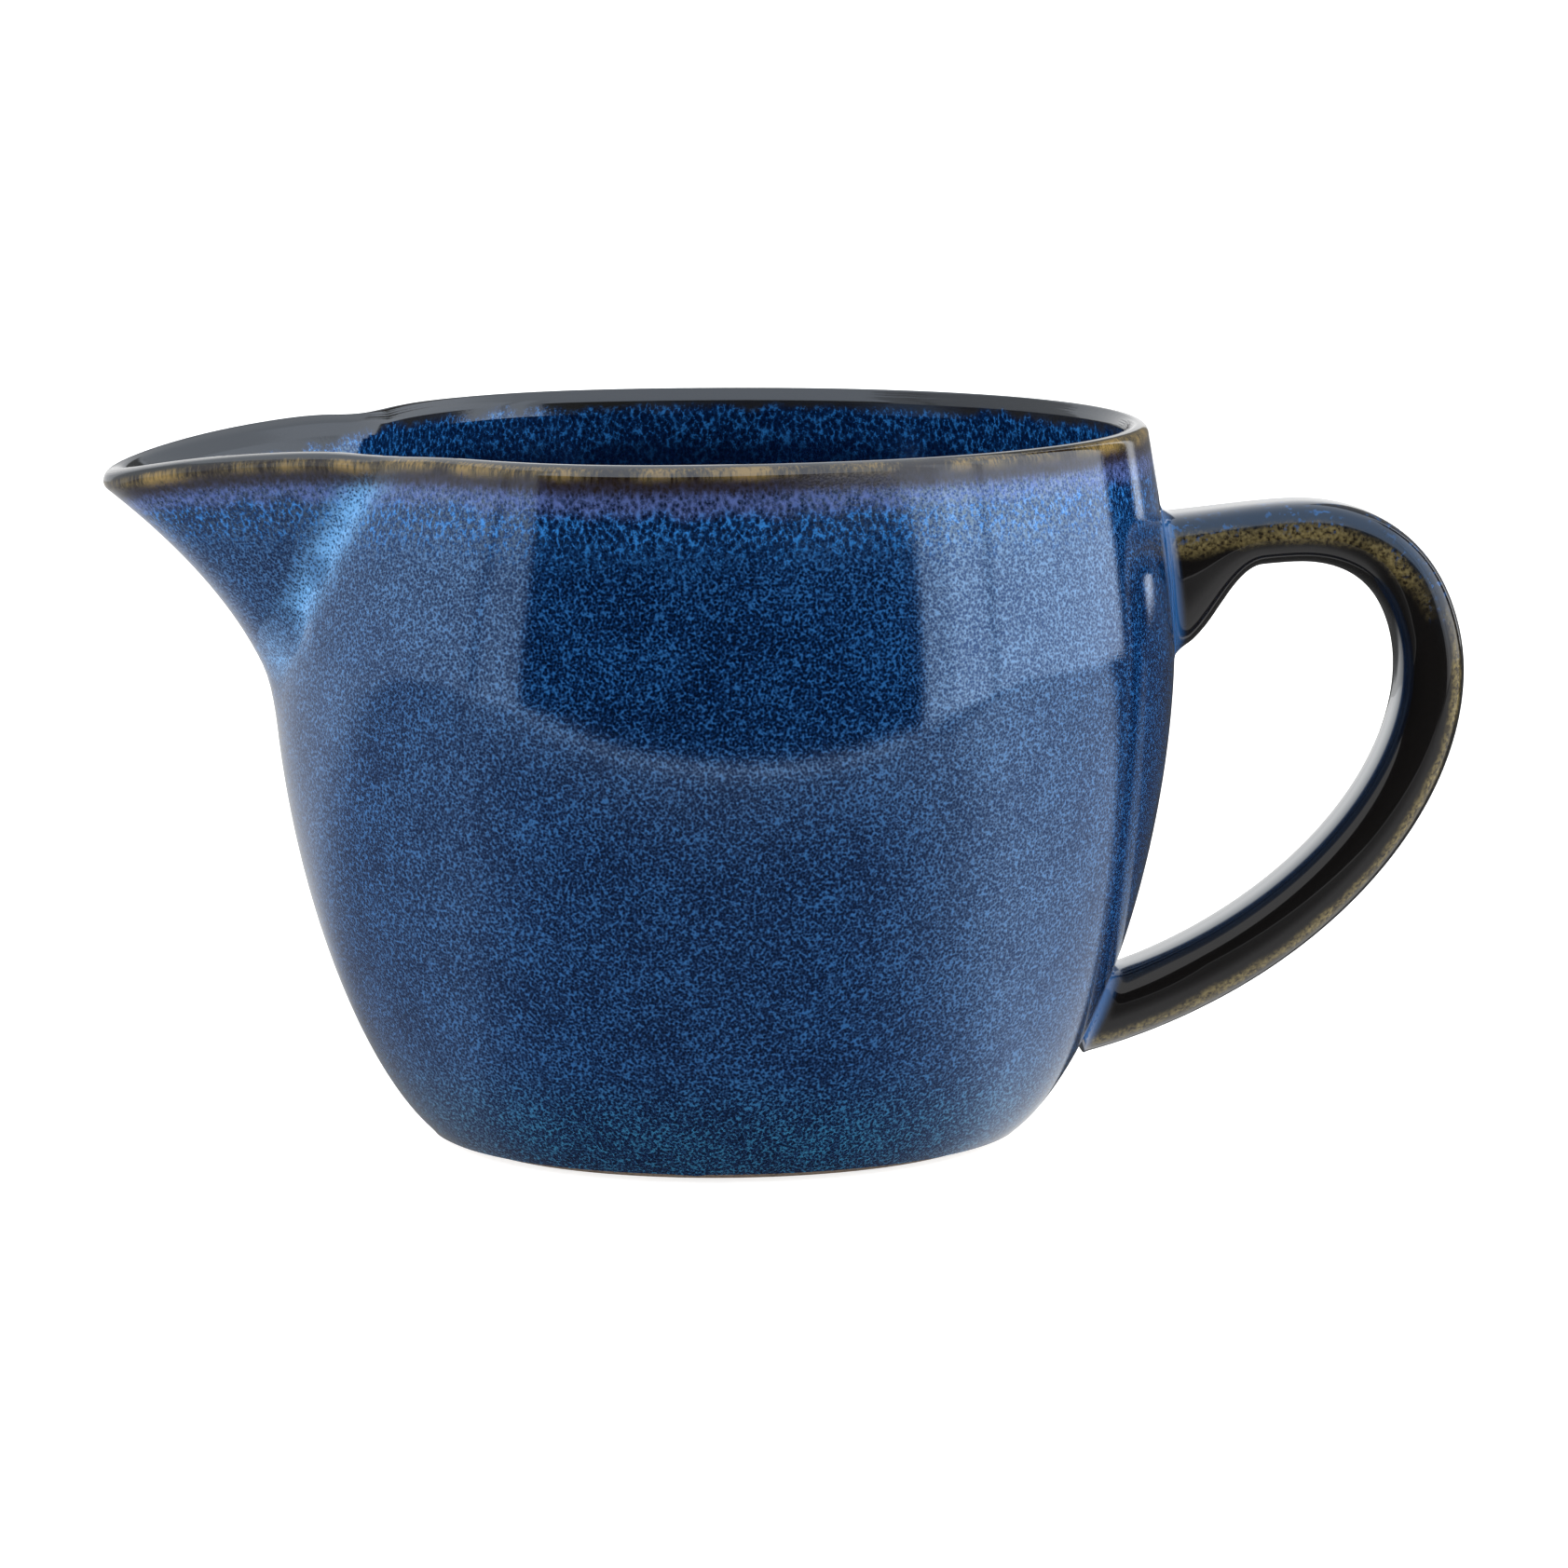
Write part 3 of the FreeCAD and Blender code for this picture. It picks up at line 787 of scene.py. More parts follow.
    def wall(self, t: Tree, net: Socket, coarse: Socket, sunk: Socket) -> Socket:
        """The body's net: teal at the base, brighter in a band under the lip, then violet.

        Args:
            t: The material's tree.
            net: Cells and grain, high in the strands between cells.
            coarse: The same with longer cells.
            sunk: Wavy distance below the crest.

        Returns:
            The colour.
        """
        plain = t.ramp(net, [(0.60, self.navy), (0.80, self.blue), (1.0, self.strand)])
        base = t.ramp(net, [(0.60, self.navy), (0.80, self.blue), (1.0, self.teal)])
        plain = t.mix(t.fade(t.axis(2), self.base_from_m, self.base_to_m), plain, base)
        shine = t.ramp(coarse, [(0.50, self.navy), (0.72, self.blue), (0.98, self.bright)])
        band = t.ramp(coarse, [(0.46, self.navy), (0.96, self.violet)])
        colour = t.mix(t.fade(sunk, *self.shine_band), plain, shine)
        return t.mix(t.fade(sunk, *self.violet_band), colour, band)

    def lip(self, t: Tree, wall: Socket, below: Socket, runs: Socket, streaks: Socket) -> Socket:
        """The thin glaze over the lip: black crest, amber to olive runs and a dark brown edge.

        Args:
            t: The material's tree.
            wall: Colour of the wall.
            below: Distance below the crest.
            runs: The same, streaky.
            streaks: The streaks alone.

        Returns:
            The colour.
        """
        flow = t.total(streaks, t.swing(t.noise(self.patch_size, 2.0), self.patch))
        gold = t.ramp(flow, [(0.30, self.umber), (0.50, self.olive), (0.80, self.amber)])
        colour = t.mix(t.times(t.fade(runs, *self.brown_band), 0.9), wall, self.umber)
        colour = t.mix(t.fade(runs, *self.gold_band), colour, gold)
        return t.mix(t.fade(below, *self.crest_band), colour, self.crest)

    def beak_shift(self, t: Tree) -> Socket:
        """How much deeper, in millimetres, the black under the lip runs inside the beak."""
        return t.times(t.fade(t.axis(0), self.beak_from_m, self.beak_to_m), self.beak_black)

    def inner(self, t: Tree, coarse: Socket, sunk: Socket) -> Socket:
        """The inside: near black under the lip, a mottled blue belt, then dark again as painted shade
        deeper in the vessel.

        Args:
            t: The material's tree.
            coarse: Long cells and grain.
            sunk: Wavy distance below the crest.

        Returns:
            The colour.
        """
        mottle = t.ramp(coarse, [(0.50, self.navy), (0.74, self.blue), (0.98, self.bright)])
        start = t.less(sunk, self.beak_shift(t))
        colour = t.mix(t.fade(start, *self.belt_start), self.crest, mottle)
        # Deeper down the belt fades to navy: painted shade inside the vessel.
        return t.mix(t.times(t.fade(sunk, *self.belt_end), 0.8), colour, self.navy)


@dataclass(frozen=True)
class DarkGlaze:
    """The same glaze run thin on the handle: near black, olive at its edges, flecked blue on top.

    Sizes are the widths of spots, clouds and flecks. The gleam is tinted blue on the top face,
    painted sheen, and near white along the brow that faces the sky, a painted highlight.
    """

    spot_size: float = 0.55
    cloud_size: float = 5.0
    fleck_size: float = 0.8
    wander: float = 0.9
    root_band: tuple[float, float] = (1.8, 0.0)
    pool: tuple[float, float, float] = (0.0040, 0.0036, 0.0034)
    brown: tuple[float, float, float] = (0.012, 0.008, 0.003)
    olive: tuple[float, float, float] = (0.120, 0.095, 0.038)
    fleck: tuple[float, float, float] = (0.010, 0.055, 0.16)
    sheen: tuple[float, float, float] = (0.045, 0.045, 0.050)
    # Gleam tints: blue on the top face as painted sheen, near white along the brow as a painted highlight.
    top_painted_sheen: tuple[float, float, float] = (0.07, 0.22, 0.48)
    brow_painted_highlight: tuple[float, float, float] = (0.75, 0.88, 1.0)
    gloss: Gloss = Gloss(gleam=0.5, body_rough=0.2)

    def make(self, name: str) -> bpy.types.Material:
        """Builds the material.

        Args:
            name: The material's name.

        Returns:
            The material, which reads the marks edge, from_wall, top and brow.
        """
        t = Tree(name)
        edge, wall, top = t.mark(Mark.EDGE.value), t.mark(Mark.FROM_WALL.value), t.mark(Mark.TOP.value)
        clouds = t.noise(self.cloud_size, 2.0)
        along = t.total(edge, t.swing(clouds, self.wander))
        olive = t.ramp(t.noise(self.spot_size, 3.0, 0.6), [(0.36, self.brown), (0.66, self.olive)])
        colour = t.mix(t.fade(along, 0.35, 1.05), self.pool, olive)
        flecks = t.times(t.fade(t.noise(self.fleck_size, 2.0), 0.56, 0.66), t.fade(clouds, 0.45, 0.60))
        colour = t.mix(t.times(flecks, top), colour, self.fleck)
        colour = t.mix(t.fade(wall, *self.root_band), colour, self.fleck)
        t.feed(t.shader.inputs["Base Color"], colour)
        # The gleam is raised blue on top and near white on the sky-facing brow: painted sheen and a painted
        # highlight.
        tint = t.mix(t.mark(Mark.BROW.value), t.mix(top, self.sheen, self.top_painted_sheen), self.brow_painted_highlight)
        t.feed(t.shader.inputs["Specular Tint"], tint)
        self.gloss.onto(t)
        return t.material


@dataclass(frozen=True)
class BareClay:
    """Fired stoneware with no glaze: matt and finely gritty. The clay is pale brown in itself; the
    tone and grit here are darker, painted shade for the contact shadow along the foot.
    """

    # Darker than the clay's own pale brown: painted shade for the contact shadow at the foot.
    tone: tuple[float, float, float] = (0.17, 0.125, 0.09)
    grit: tuple[float, float, float] = (0.075, 0.052, 0.036)
    rough: float = 0.75
    grit_size: float = 0.45
    raised: float = 0.1

    def make(self, name: str) -> bpy.types.Material:
        """Builds the material, with dark grit in the clay and a little of it raised.

        Args:
            name: The material's name.

        Returns:
            The material.
        """
        t = Tree(name)
        specks = t.noise(self.grit_size, 3.0, 0.6)
        t.feed(t.shader.inputs["Base Color"], t.ramp(specks, [(0.36, self.grit), (0.50, self.tone)]))
        t.shader.inputs["Roughness"].default_value = self.rough
        t.links.new(t.bump(specks, 0.3, self.raised * MM), t.shader.inputs["Normal"])
        return t.material


@dataclass(frozen=True)
class WellGlaze:
    """Glaze in the foot well, where no light shapes it: an even speckled navy."""

    navy: tuple[float, float, float] = (0.0010, 0.0080, 0.034)
    blue: tuple[float, float, float] = (0.008, 0.09, 0.32)
    cell: float = 0.7

    def make(self, name: str) -> bpy.types.Material:
        """Builds the material.

        Args:
            name: The material's name.

        Returns:
            The material.
        """
        t = Tree(name)
        speckle = t.ramp(t.cells(self.cell), [(0.30, self.navy), (0.75, self.blue)])
        t.feed(t.shader.inputs["Base Color"], speckle)
        Gloss().onto(t)
        return t.material


# ---------------------------------------------------------------------------------------------
# Sub-assemblies
# ---------------------------------------------------------------------------------------------


@dataclass
class VesselGlaze:
    """The coat of glaze over the bowl and the beak: outside wall, lip, inside wall and floor.

    The skin's front is the surface that shows. Its back lies hidden in the coat, a share of the
    glaze's thickness in from the front, and needs fewer rows.
    """

    outline: Outline
    floor_top: float
    glaze_line: float = 1.0
    floor_flat: float = 24.0
    floor_turn: float = 30.0
    beak_span: float = math.radians(62)
    beak_columns: int = 190
    back_columns: int = 110
    wall_rows: int = 80
    lip_rows: int = 14
    inner_rows: int = 46
    floor_rows: int = 18
    flat_rows: int = 6
    floor_pull: tuple[float, float] = (0.55, 0.45)
    back_share: float = 0.6
    back_wall_rows: int = 14
    back_lip_rows: int = 5
    back_inner_rows: int = 10
    back_floor_rows: tuple[int, int] = (6, 2)
    bead_rows: int = 5
    bead_drop: float = 0.12
    crease_width: float = 1.5
    crease_rise: float = 8.0
    melt_reach: float = 4.2
    melt_crest: float = 0.6
    melt_turn: float = 0.7
    melt_ease: float = 1.5
    melt_lean: float = 0.14
    melt_fall: float = 0.80
    melt_steps: int = 421
    hidden: float = 50.0

    def bearings(self) -> Array:
        """Bearings round the vessel, close together on the beak and wider apart behind.

        Returns:
            The bearings, once round.
        """
        front = np.linspace(-self.beak_span, self.beak_span, self.beak_columns, endpoint=False)
        back = np.linspace(self.beak_span, 2 * math.pi - self.beak_span, self.back_columns, endpoint=False)
        return np.concatenate([front, back])

    def layer(self, phi: Array, z: Array, top: Array, clay: float, coats: float) -> Array:
        """Points under the outline, square to it.

        Args:
            phi: Bearings.
            z: Heights on the outline.
            top: Height of the wall's top at each bearing.
            clay: Share of the clay's thickness that they lie in.
            coats: Coats of glaze that they lie in.

        Returns:
            The points.
        """
        point, normal, _ = self.outline.frame(phi, z)
        depth = coats * self.outline.glaze + clay * self.outline.clay(z, top)
        return point - normal * depth[..., None]

    def outside(self, phi: Array, top: Array, rows: int, coats: float) -> Array:
        """The outside wall upwards, with heights spaced by a cosine so that both ends are fine.

        Args:
            phi: Bearings.
            top: Height of the wall's top at each bearing.
            rows: Steps from the glaze line to the top.
            coats: Coats of glaze in from the outline.

        Returns:
            The rings.
        """
        share = (1 - np.cos(np.linspace(0, math.pi, rows + 1))) / 2
        z = self.glaze_line + (top - self.glaze_line) * share[:, None]
        return self.layer(phi[None, :], z, top, 0.0, coats)

    def lip(self, phi: Array, top: Array, rows: int, half: float, rise: float) -> Array:
        """Half an ellipse about the middle of the wall: normal a cos(t) plus tangent b sin(t).

        Args:
            phi: Bearings.
            top: Height of the wall's top at each bearing.
            rows: Steps over the lip.
            half: Half axis a, along the wall's normal.
            rise: Half axis b, along its tangent.

        Returns:
            The rings, without the two ends.
        """
        point, normal, tangent = self.outline.frame(phi, top)
        middle = point - normal * self.outline.lip_half
        turn = np.linspace(0, math.pi, rows + 1)[1:-1, None, None]
        return middle + normal * half * np.cos(turn) + tangent * rise * np.sin(turn)

    def inside(self, phi: Array, top: Array, rows: int, coats: float) -> Array:
        """The inside wall downwards from the lip, by a sine so that its top is fine.

        Args:
            phi: Bearings.
            top: Height of the wall's top at each bearing.
            rows: Steps from the lip to where the wall turns in to the floor.
            coats: Coats of glaze in from the outline.

        Returns:
            The rings.
        """
        share = np.sin(math.pi / 2 * np.linspace(1, 0, rows + 1))[:, None]
        z = self.floor_turn + (top - self.floor_turn) * share
        return self.layer(phi[None, :], z, top, 1.0, coats)

    def floor(self, phi: Array, top: Array, coats: float, height: float, rows: tuple[int, int]) -> Array:
        """A Bezier curve from the wall down to the flat floor, then rings in to the middle.

        The curve leaves the wall along the wall's own slope and meets the floor level.

        Args:
            phi: Bearings of the points.
            top: Height of the wall's top at each bearing.
            coats: How many coats of glaze the surface lies in from the outline.
            height: Height of the flat floor.
            rows: How many rings the curve and the flat floor get.

        Returns:
            The rings, from the wall inwards.
        """
        out = np.stack([-np.cos(phi), np.sin(phi), np.zeros_like(phi)], axis=-1)
        z = np.full_like(phi, self.floor_turn)
        start = self.layer(phi, z, top, 1.0, coats)
        slope = self.layer(phi, z + 0.01, top, 1.0, coats) - start
        upward = slope / np.linalg.norm(slope, axis=-1, keepdims=True)
        edge = out * self.floor_flat + np.array([0, 0, height])
        width = (start * out).sum(-1, keepdims=True) - self.floor_flat
        leave = start - upward * (self.floor_turn - height) * self.floor_pull[0]
        low = edge + out * width * self.floor_pull[1]
        curve, _ = bezier((start, leave, low, edge), np.linspace(0, 1, rows[0] + 1)[1:])
        shrink = np.linspace(1, 0, rows[1] + 2)[1:-1, None, None]
        flat = out * self.floor_flat * shrink + np.array([0, 0, height])
        return np.concatenate([curve, flat])

    def rings(self) -> tuple[Array, Array, int]:
        """All rings: from the middle of the floor, up, over the lip, down and back inside the coat.

        Returns:
            The rings, the bearings of their points and the number of rings on the front.
        """
        o, phi = self.outline, self.bearings()
        top = o.wall_top(phi)
        inner = self.inside(phi, top, self.inner_rows, 2.0)
        floor = self.floor(phi, top, 2.0, self.floor_top, (self.floor_rows, self.flat_rows))
        lip = self.lip(phi, top, self.lip_rows, o.lip_half, o.lip_rise)
        outer = self.outside(phi, top, self.wall_rows, 0.0)
        front = np.concatenate([floor[::-1], inner[::-1], lip[::-1], outer[::-1]])

        deep = self.back_share
        turn = np.linspace(0, math.pi, self.bead_rows + 1)[1:-1, None, None]
        foot, back = outer[0], self.outside(phi, top, 1, deep)[0]
        bead = (foot + back) / 2 + (foot - back) / 2 * np.cos(turn)
        bead[..., 2] -= self.bead_drop * np.sin(turn[..., 0])
        outer_back = self.outside(phi, top, self.back_wall_rows, deep)
        half, rise = o.lip_half - deep * o.glaze, o.lip_rise - deep * o.lip_glaze
        lip_back = self.lip(phi, top, self.back_lip_rows, half, rise)
        inner_back = self.inside(phi, top, self.back_inner_rows, 2.0 - deep)
        under = self.floor_top - deep * o.glaze
        floor_back = self.floor(phi, top, 2.0 - deep, under, self.back_floor_rows)
        rings = np.concatenate([front, bead, outer_back, lip_back, inner_back, floor_back])
        return rings, phi, len(front)

    def below_lip(self, rings: Array, front: int) -> tuple[Array, Array]:
        """Distance along the wall from the crest, and 1 for the inside, at every point.

        The distance is the length walked from ring to ring, less its value at the highest ring.

        Args:
            rings: All rings.
            front: How many of them are on the front.

        Returns:
            The distances, and the inside's ones and zeros.
        """
        steps = np.linalg.norm(np.diff(rings[:front], axis=0), axis=-1)
        walked = np.concatenate([np.zeros((1, rings.shape[1])), np.cumsum(steps, axis=0)])
        crest = self.floor_rows + self.flat_rows + self.inner_rows + 1 + self.lip_rows // 2
        away = walked - walked[crest]
        inside = np.zeros(rings.shape[:2])
        inside[:crest] = 1.0
        below = np.full(rings.shape[:2], self.hidden)
        below[:front] = np.abs(away)
        return below, inside

    def melt(self, below: Array) -> Array:
        """Height, in millimetres, of the glaze that has sunk from the inner edge of the lip.

        Down from the crest its slope is -fall, which makes the crest narrow, and eases over to
        +lean, which turns the top of the wall into a shallow bevel. The height is the sum of the
        slope over the distance walked.

        Args:
            below: Distances along the wall from the crest.

        Returns:
            The heights, which stay level past the reach.
        """
        walked = np.linspace(0, self.melt_reach, self.melt_steps)
        eased = smoothstep((walked - self.melt_turn) / self.melt_ease)
        fall = self.melt_fall * (1 - eased) * smoothstep(walked / self.melt_crest)
        slope = self.melt_lean * eased - fall
        height = np.cumsum(slope) * (walked[1] - walked[0])
        return np.interp(below, walked, height - height[0])

    def build(self) -> bpy.types.Object:
        """Makes and dresses the piece, and stands it in for the CAD's coats.

        Returns:
            The object.
        """
        rings, phi, front = self.rings()
        below, inside = self.below_lip(rings, front)
        gap = self.outline.crease(phi[None, :], rings[..., 2])
        high = smoothstep((rings[..., 2] - self.outline.spout_root) / self.crease_rise)
        crease = np.exp(-((gap / self.crease_width) ** 2)) * high * (1 - inside)
        marks = {Mark.BELOW_LIP.value: below, Mark.INSIDE.value: inside, Mark.CREASE.value: crease}
        marks[Mark.MELT.value] = self.melt(below) * inside
        piece = Skin(rings, marks).build("vessel_glaze")
        piece.data.materials.append(SpeckledGlaze().make("speckled_glaze"))
        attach(piece, "root")
        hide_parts("outer_glaze", "rim_glaze", "inner_glaze")
        return piece


@dataclass
class HandleGlaze:
    """The looped strap in its glaze, with a fillet where it runs into the wall.

    The pulls are the lengths of the centreline's control arms. A turn is a pair: the share of the
    way from the crown to the lower root where a change starts, and how long it takes. A line is a
    pair too: the middle and the width of an olive edge, as cosines round the section.
    """

    outline: Outline
    handle_out: float = 31.8
    crown_out: float = 15.6
    root_drop: float = 15.6
    crown_drop: float = 14.0
    out_drop: float = 31.1
    lower_root: float = 13.6
    lower_slope: float = math.radians(13.6)
    thick_top: float = 7.6
    thick_low: float = 8.9
    width: float = 11.2
    root_widen: float = 1.4
    gusset_depth: float = 9.1
    gusset_run: float = 12.0
    squareness: float = 2.35
    sky_squareness: float = 3.5
    top_pull: tuple[float, float] = (8.0, 4.0)
    bend_pull: tuple[float, float] = (11.6, 8.0)
    lower_pull: tuple[float, float] = (16.8, 26.6)
    root_sink: float = 2.0
    fillet: float = 1.9
    sky_turn: tuple[float, float] = (0.15, 0.25)
    edge_turn: tuple[float, float] = (0.2, 0.3)
    outer_line: tuple[float, float] = (0.50, 0.20)
    inner_line: tuple[float, float] = (0.05, 0.30)
    points_round: int = 72
    rows: tuple[int, int, int] = (90, 60, 130)
    crowding: float = 1.6

    def curves(self) -> list[tuple[Array, Array, Array, Array]]:
        """The centreline: root to crown, crown to furthest out, and on to the lower root.

        Returns:
            The four control points of each of the three curves.
        """
        o = self.outline
        upper_z = o.rim_height - self.root_drop
        upper = np.array([float(o.bowl_radius(upper_z)) - self.root_sink, 0, upper_z])
        crown = np.array([o.belly_radius + self.crown_out, 0, o.rim_height - self.crown_drop])
        outmost = np.array([o.belly_radius + self.handle_out, 0, o.rim_height - self.out_drop])
        arrive = np.array([math.cos(self.lower_slope), 0, math.sin(self.lower_slope)])
        lower = np.array([float(o.bowl_radius(self.lower_root)), 0, self.lower_root])
        lower = lower - arrive * self.root_sink
        along, down = np.array([1.0, 0, 0]), np.array([0, 0, -1.0])
        rise = (crown - upper) / np.linalg.norm(crown - upper)
        return [
            (upper, upper + rise * self.top_pull[0], crown - along * self.top_pull[1], crown),
            (crown, crown + along * self.bend_pull[0], outmost - down * self.bend_pull[1], outmost),
            (outmost, outmost + down * self.lower_pull[0], lower + arrive * self.lower_pull[1], lower),
        ]

    def stations(self) -> tuple[Array, Array, Array]:
        """Centres, directions and shares of the way from crown to lower root.

        The first curve is finest at its start and the last at its end, near the wall.

        Returns:
            Points, unit directions and shares, which stay 0 up to the crown.
        """
        first = np.linspace(0, 1, self.rows[0]) ** self.crowding
        middle = np.linspace(0, 1, self.rows[1] + 1)[1:]
        last = 1 - (1 - np.linspace(0, 1, self.rows[2] + 1)[1:]) ** self.crowding
        found = [bezier(c, t) for c, t in zip(self.curves(), (first, middle, last))]
        share = np.concatenate([np.zeros_like(first), middle / 2, (1 + last) / 2])
        return np.concatenate([f[0] for f in found]), np.concatenate([f[1] for f in found]), share

    def gap(self, points: Array) -> Array:
        """Distance out from the bowl's wall, square to it.

        It is the level distance divided by the root of 1 + s^2, with s the wall's run per 1 mm.

        Args:
            points: Points with x, y, z last.

        Returns:
            The distances, below 0 inside the wall.
        """
        z, bowl = points[..., 2], self.outline.bowl_radius
        slope = bowl(z + 0.5) - bowl(z - 0.5)
        return (np.hypot(points[..., 0], points[..., 1]) - bowl(z)) / np.hypot(1.0, slope)

    def rings(self) -> tuple[Array, dict[str, Array]]:
        """Rings of the strap's section along its centreline.

        The section is a superellipse |c/a|^n + |s/b|^n = 1, with a the half thickness, more on the
        inner side of the upper root, and b the half width. The side that faces the sky is flatter,
        with a larger n: the outer side up to the crown, and the inner side past it. Near the wall
        every point moves out by R - sqrt(R^2 - (R - g)^2), a quarter circle of the fillet's radius
        R at the gap g.

        Returns:
            The rings, and the marks for the strap's edges, its upper side, which carries the flecks and
            the painted blue sheen, the inner brow that faces the sky, where a highlight is painted, and
            the distance from the wall.
        """
        centre, direction, share = self.stations()
        outward = np.stack([-direction[:, 2], np.zeros(len(share)), direction[:, 0]], axis=-1)
        reach_out = centre[:, 0] - self.outline.bowl_radius(centre[:, 2])
        near = np.cos(math.pi / 2 * np.clip(reach_out / self.gusset_run, 0, 1)) ** 2
        half = (self.thick_top + (self.thick_low - self.thick_top) * smoothstep(share)) / 2
        gusset = np.where(share == 0, self.gusset_depth * near, 0.0)
        wide = self.width / 2 + self.root_widen / 2 * near
        turn = np.linspace(0, 2 * math.pi, self.points_round, endpoint=False)
        c, s = np.cos(turn)[None, :], np.sin(turn)[None, :]
        tall = np.where(c > 0, half[:, None], (half + gusset)[:, None])
        past = smoothstep((share[:, None] - self.sky_turn[0]) / self.sky_turn[1])
        flat = past * (c < 0) + (1 - past) * (c > 0)
        n = self.squareness + (self.sky_squareness - self.squareness) * flat
        reach = (np.abs(c / tall) ** n + np.abs(s / wide[:, None]) ** n) ** (-1 / n)
        offset = outward[:, None, :] * (reach * c)[..., None]
        offset[..., 1] += reach * s
        rings = centre[:, None, :] + offset
        gap = self.gap(rings)
        inward = np.clip(self.fillet - np.clip(gap, 0, None), 0, None)
        swell = self.fillet - np.sqrt(self.fillet**2 - inward**2)
        rings = rings + offset / np.linalg.norm(offset, axis=-1, keepdims=True) * swell[..., None]
        lower = smoothstep((share[:, None] - self.edge_turn[0]) / self.edge_turn[1])
        outer = np.exp(-(((c - self.outer_line[0]) / self.outer_line[1]) ** 2)) * lower
        inner = np.exp(-(((c - self.inner_line[0]) / self.inner_line[1]) ** 2)) * (1 - lower)
        # top carries the flecks and the painted blue sheen; brow marks where the highlight is painted.
        top = smoothstep((c + 0.1) / 0.5) * (1 - lower)
        brow = smoothstep((-c - 0.62) / 0.2) * past + smoothstep((c - 0.80) / 0.15) * (1 - past)
        return rings, {
            Mark.EDGE.value: np.clip(outer + inner, 0.0, 1.0),
            Mark.FROM_WALL.value: gap,
            Mark.TOP.value: top + 0 * gap,
            Mark.BROW.value: brow + 0 * gap,
        }

    def build(self) -> bpy.types.Object:
        """Makes and dresses the piece, and stands it in for the CAD's coat.

        Returns:
            The object.
        """
        rings, marks = self.rings()
        piece = Skin(rings, marks).build("handle_glaze_skin")
        piece.data.materials.append(DarkGlaze().make("dark_glaze"))
        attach(piece, "root")
        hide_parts("handle_glaze")
        return piece


class ClayPart(str, Enum):
    """CAD nodes that keep their shape and get a better finish here."""

    BOWL = "bowl"
    SPOUT = "spout"
    SEAM = "spout_seam"
    HANDLE = "handle"
    UPPER_JOINT = "upper_handle_joint"
    LOWER_JOINT = "lower_handle_joint"


@dataclass
class ClayBody:
    """The clay pieces and the glaze in the foot well, as the CAD made them."""

    nodes: dict[str, bpy.types.Object]

    def dress(self) -> None:
        """Puts bare clay on every clay node, and speckled glaze in the foot well."""
        # The bare clay carries painted shade for the contact shadow at the foot.
        clay = BareClay().make("bare_stoneware_shaded")
        slip = BareClay(tone=(0.15, 0.11, 0.08)).make("fired_slip")
        seams = (ClayPart.SEAM, ClayPart.UPPER_JOINT, ClayPart.LOWER_JOINT)
        for part in ClayPart:
            self.paint(self.nodes[part.value], slip if part in seams else clay)
            LOG.info("dressed %s", part.value)
        self.paint(self.nodes["foot_well_glaze"], WellGlaze().make("well_glaze"))

    @staticmethod
    def paint(node: bpy.types.Object, material: bpy.types.Material) -> None:
        """Gives a CAD node one material, in place of those it has."""
        node.data.materials.clear()
        node.data.materials.append(material)


# ---------------------------------------------------------------------------------------------
# Studio
# ---------------------------------------------------------------------------------------------


class Role(Enum):
    """What a studio card does: GLOSS is only mirrored in glaze, LIGHT only lights matt surfaces."""

    GLOSS = "gloss"
    LIGHT = "light"


@dataclass(frozen=True)
class Card:
    """A curved card that stands round the object, and that the camera doesn't see.

    Attributes:
        name: The card's name.
        start: Bearing of one edge, in degrees to the right of the camera.
        end: Bearing of the other edge.
        low: Height of the lower edge.
        high: Height of the upper edge.
        glow: Brightness, 0 for black.
        distance: Distance from the axis.
        role: What the card does.
        corner: Width in degrees and height in millimetres of its rounded upper corners.
    """

    name: str
    start: float
    end: float
    low: float
    high: float
    glow: float
    distance: float = 1500.0
    role: Role = Role.GLOSS
    corner: tuple[float, float] = (0.0, 0.0)


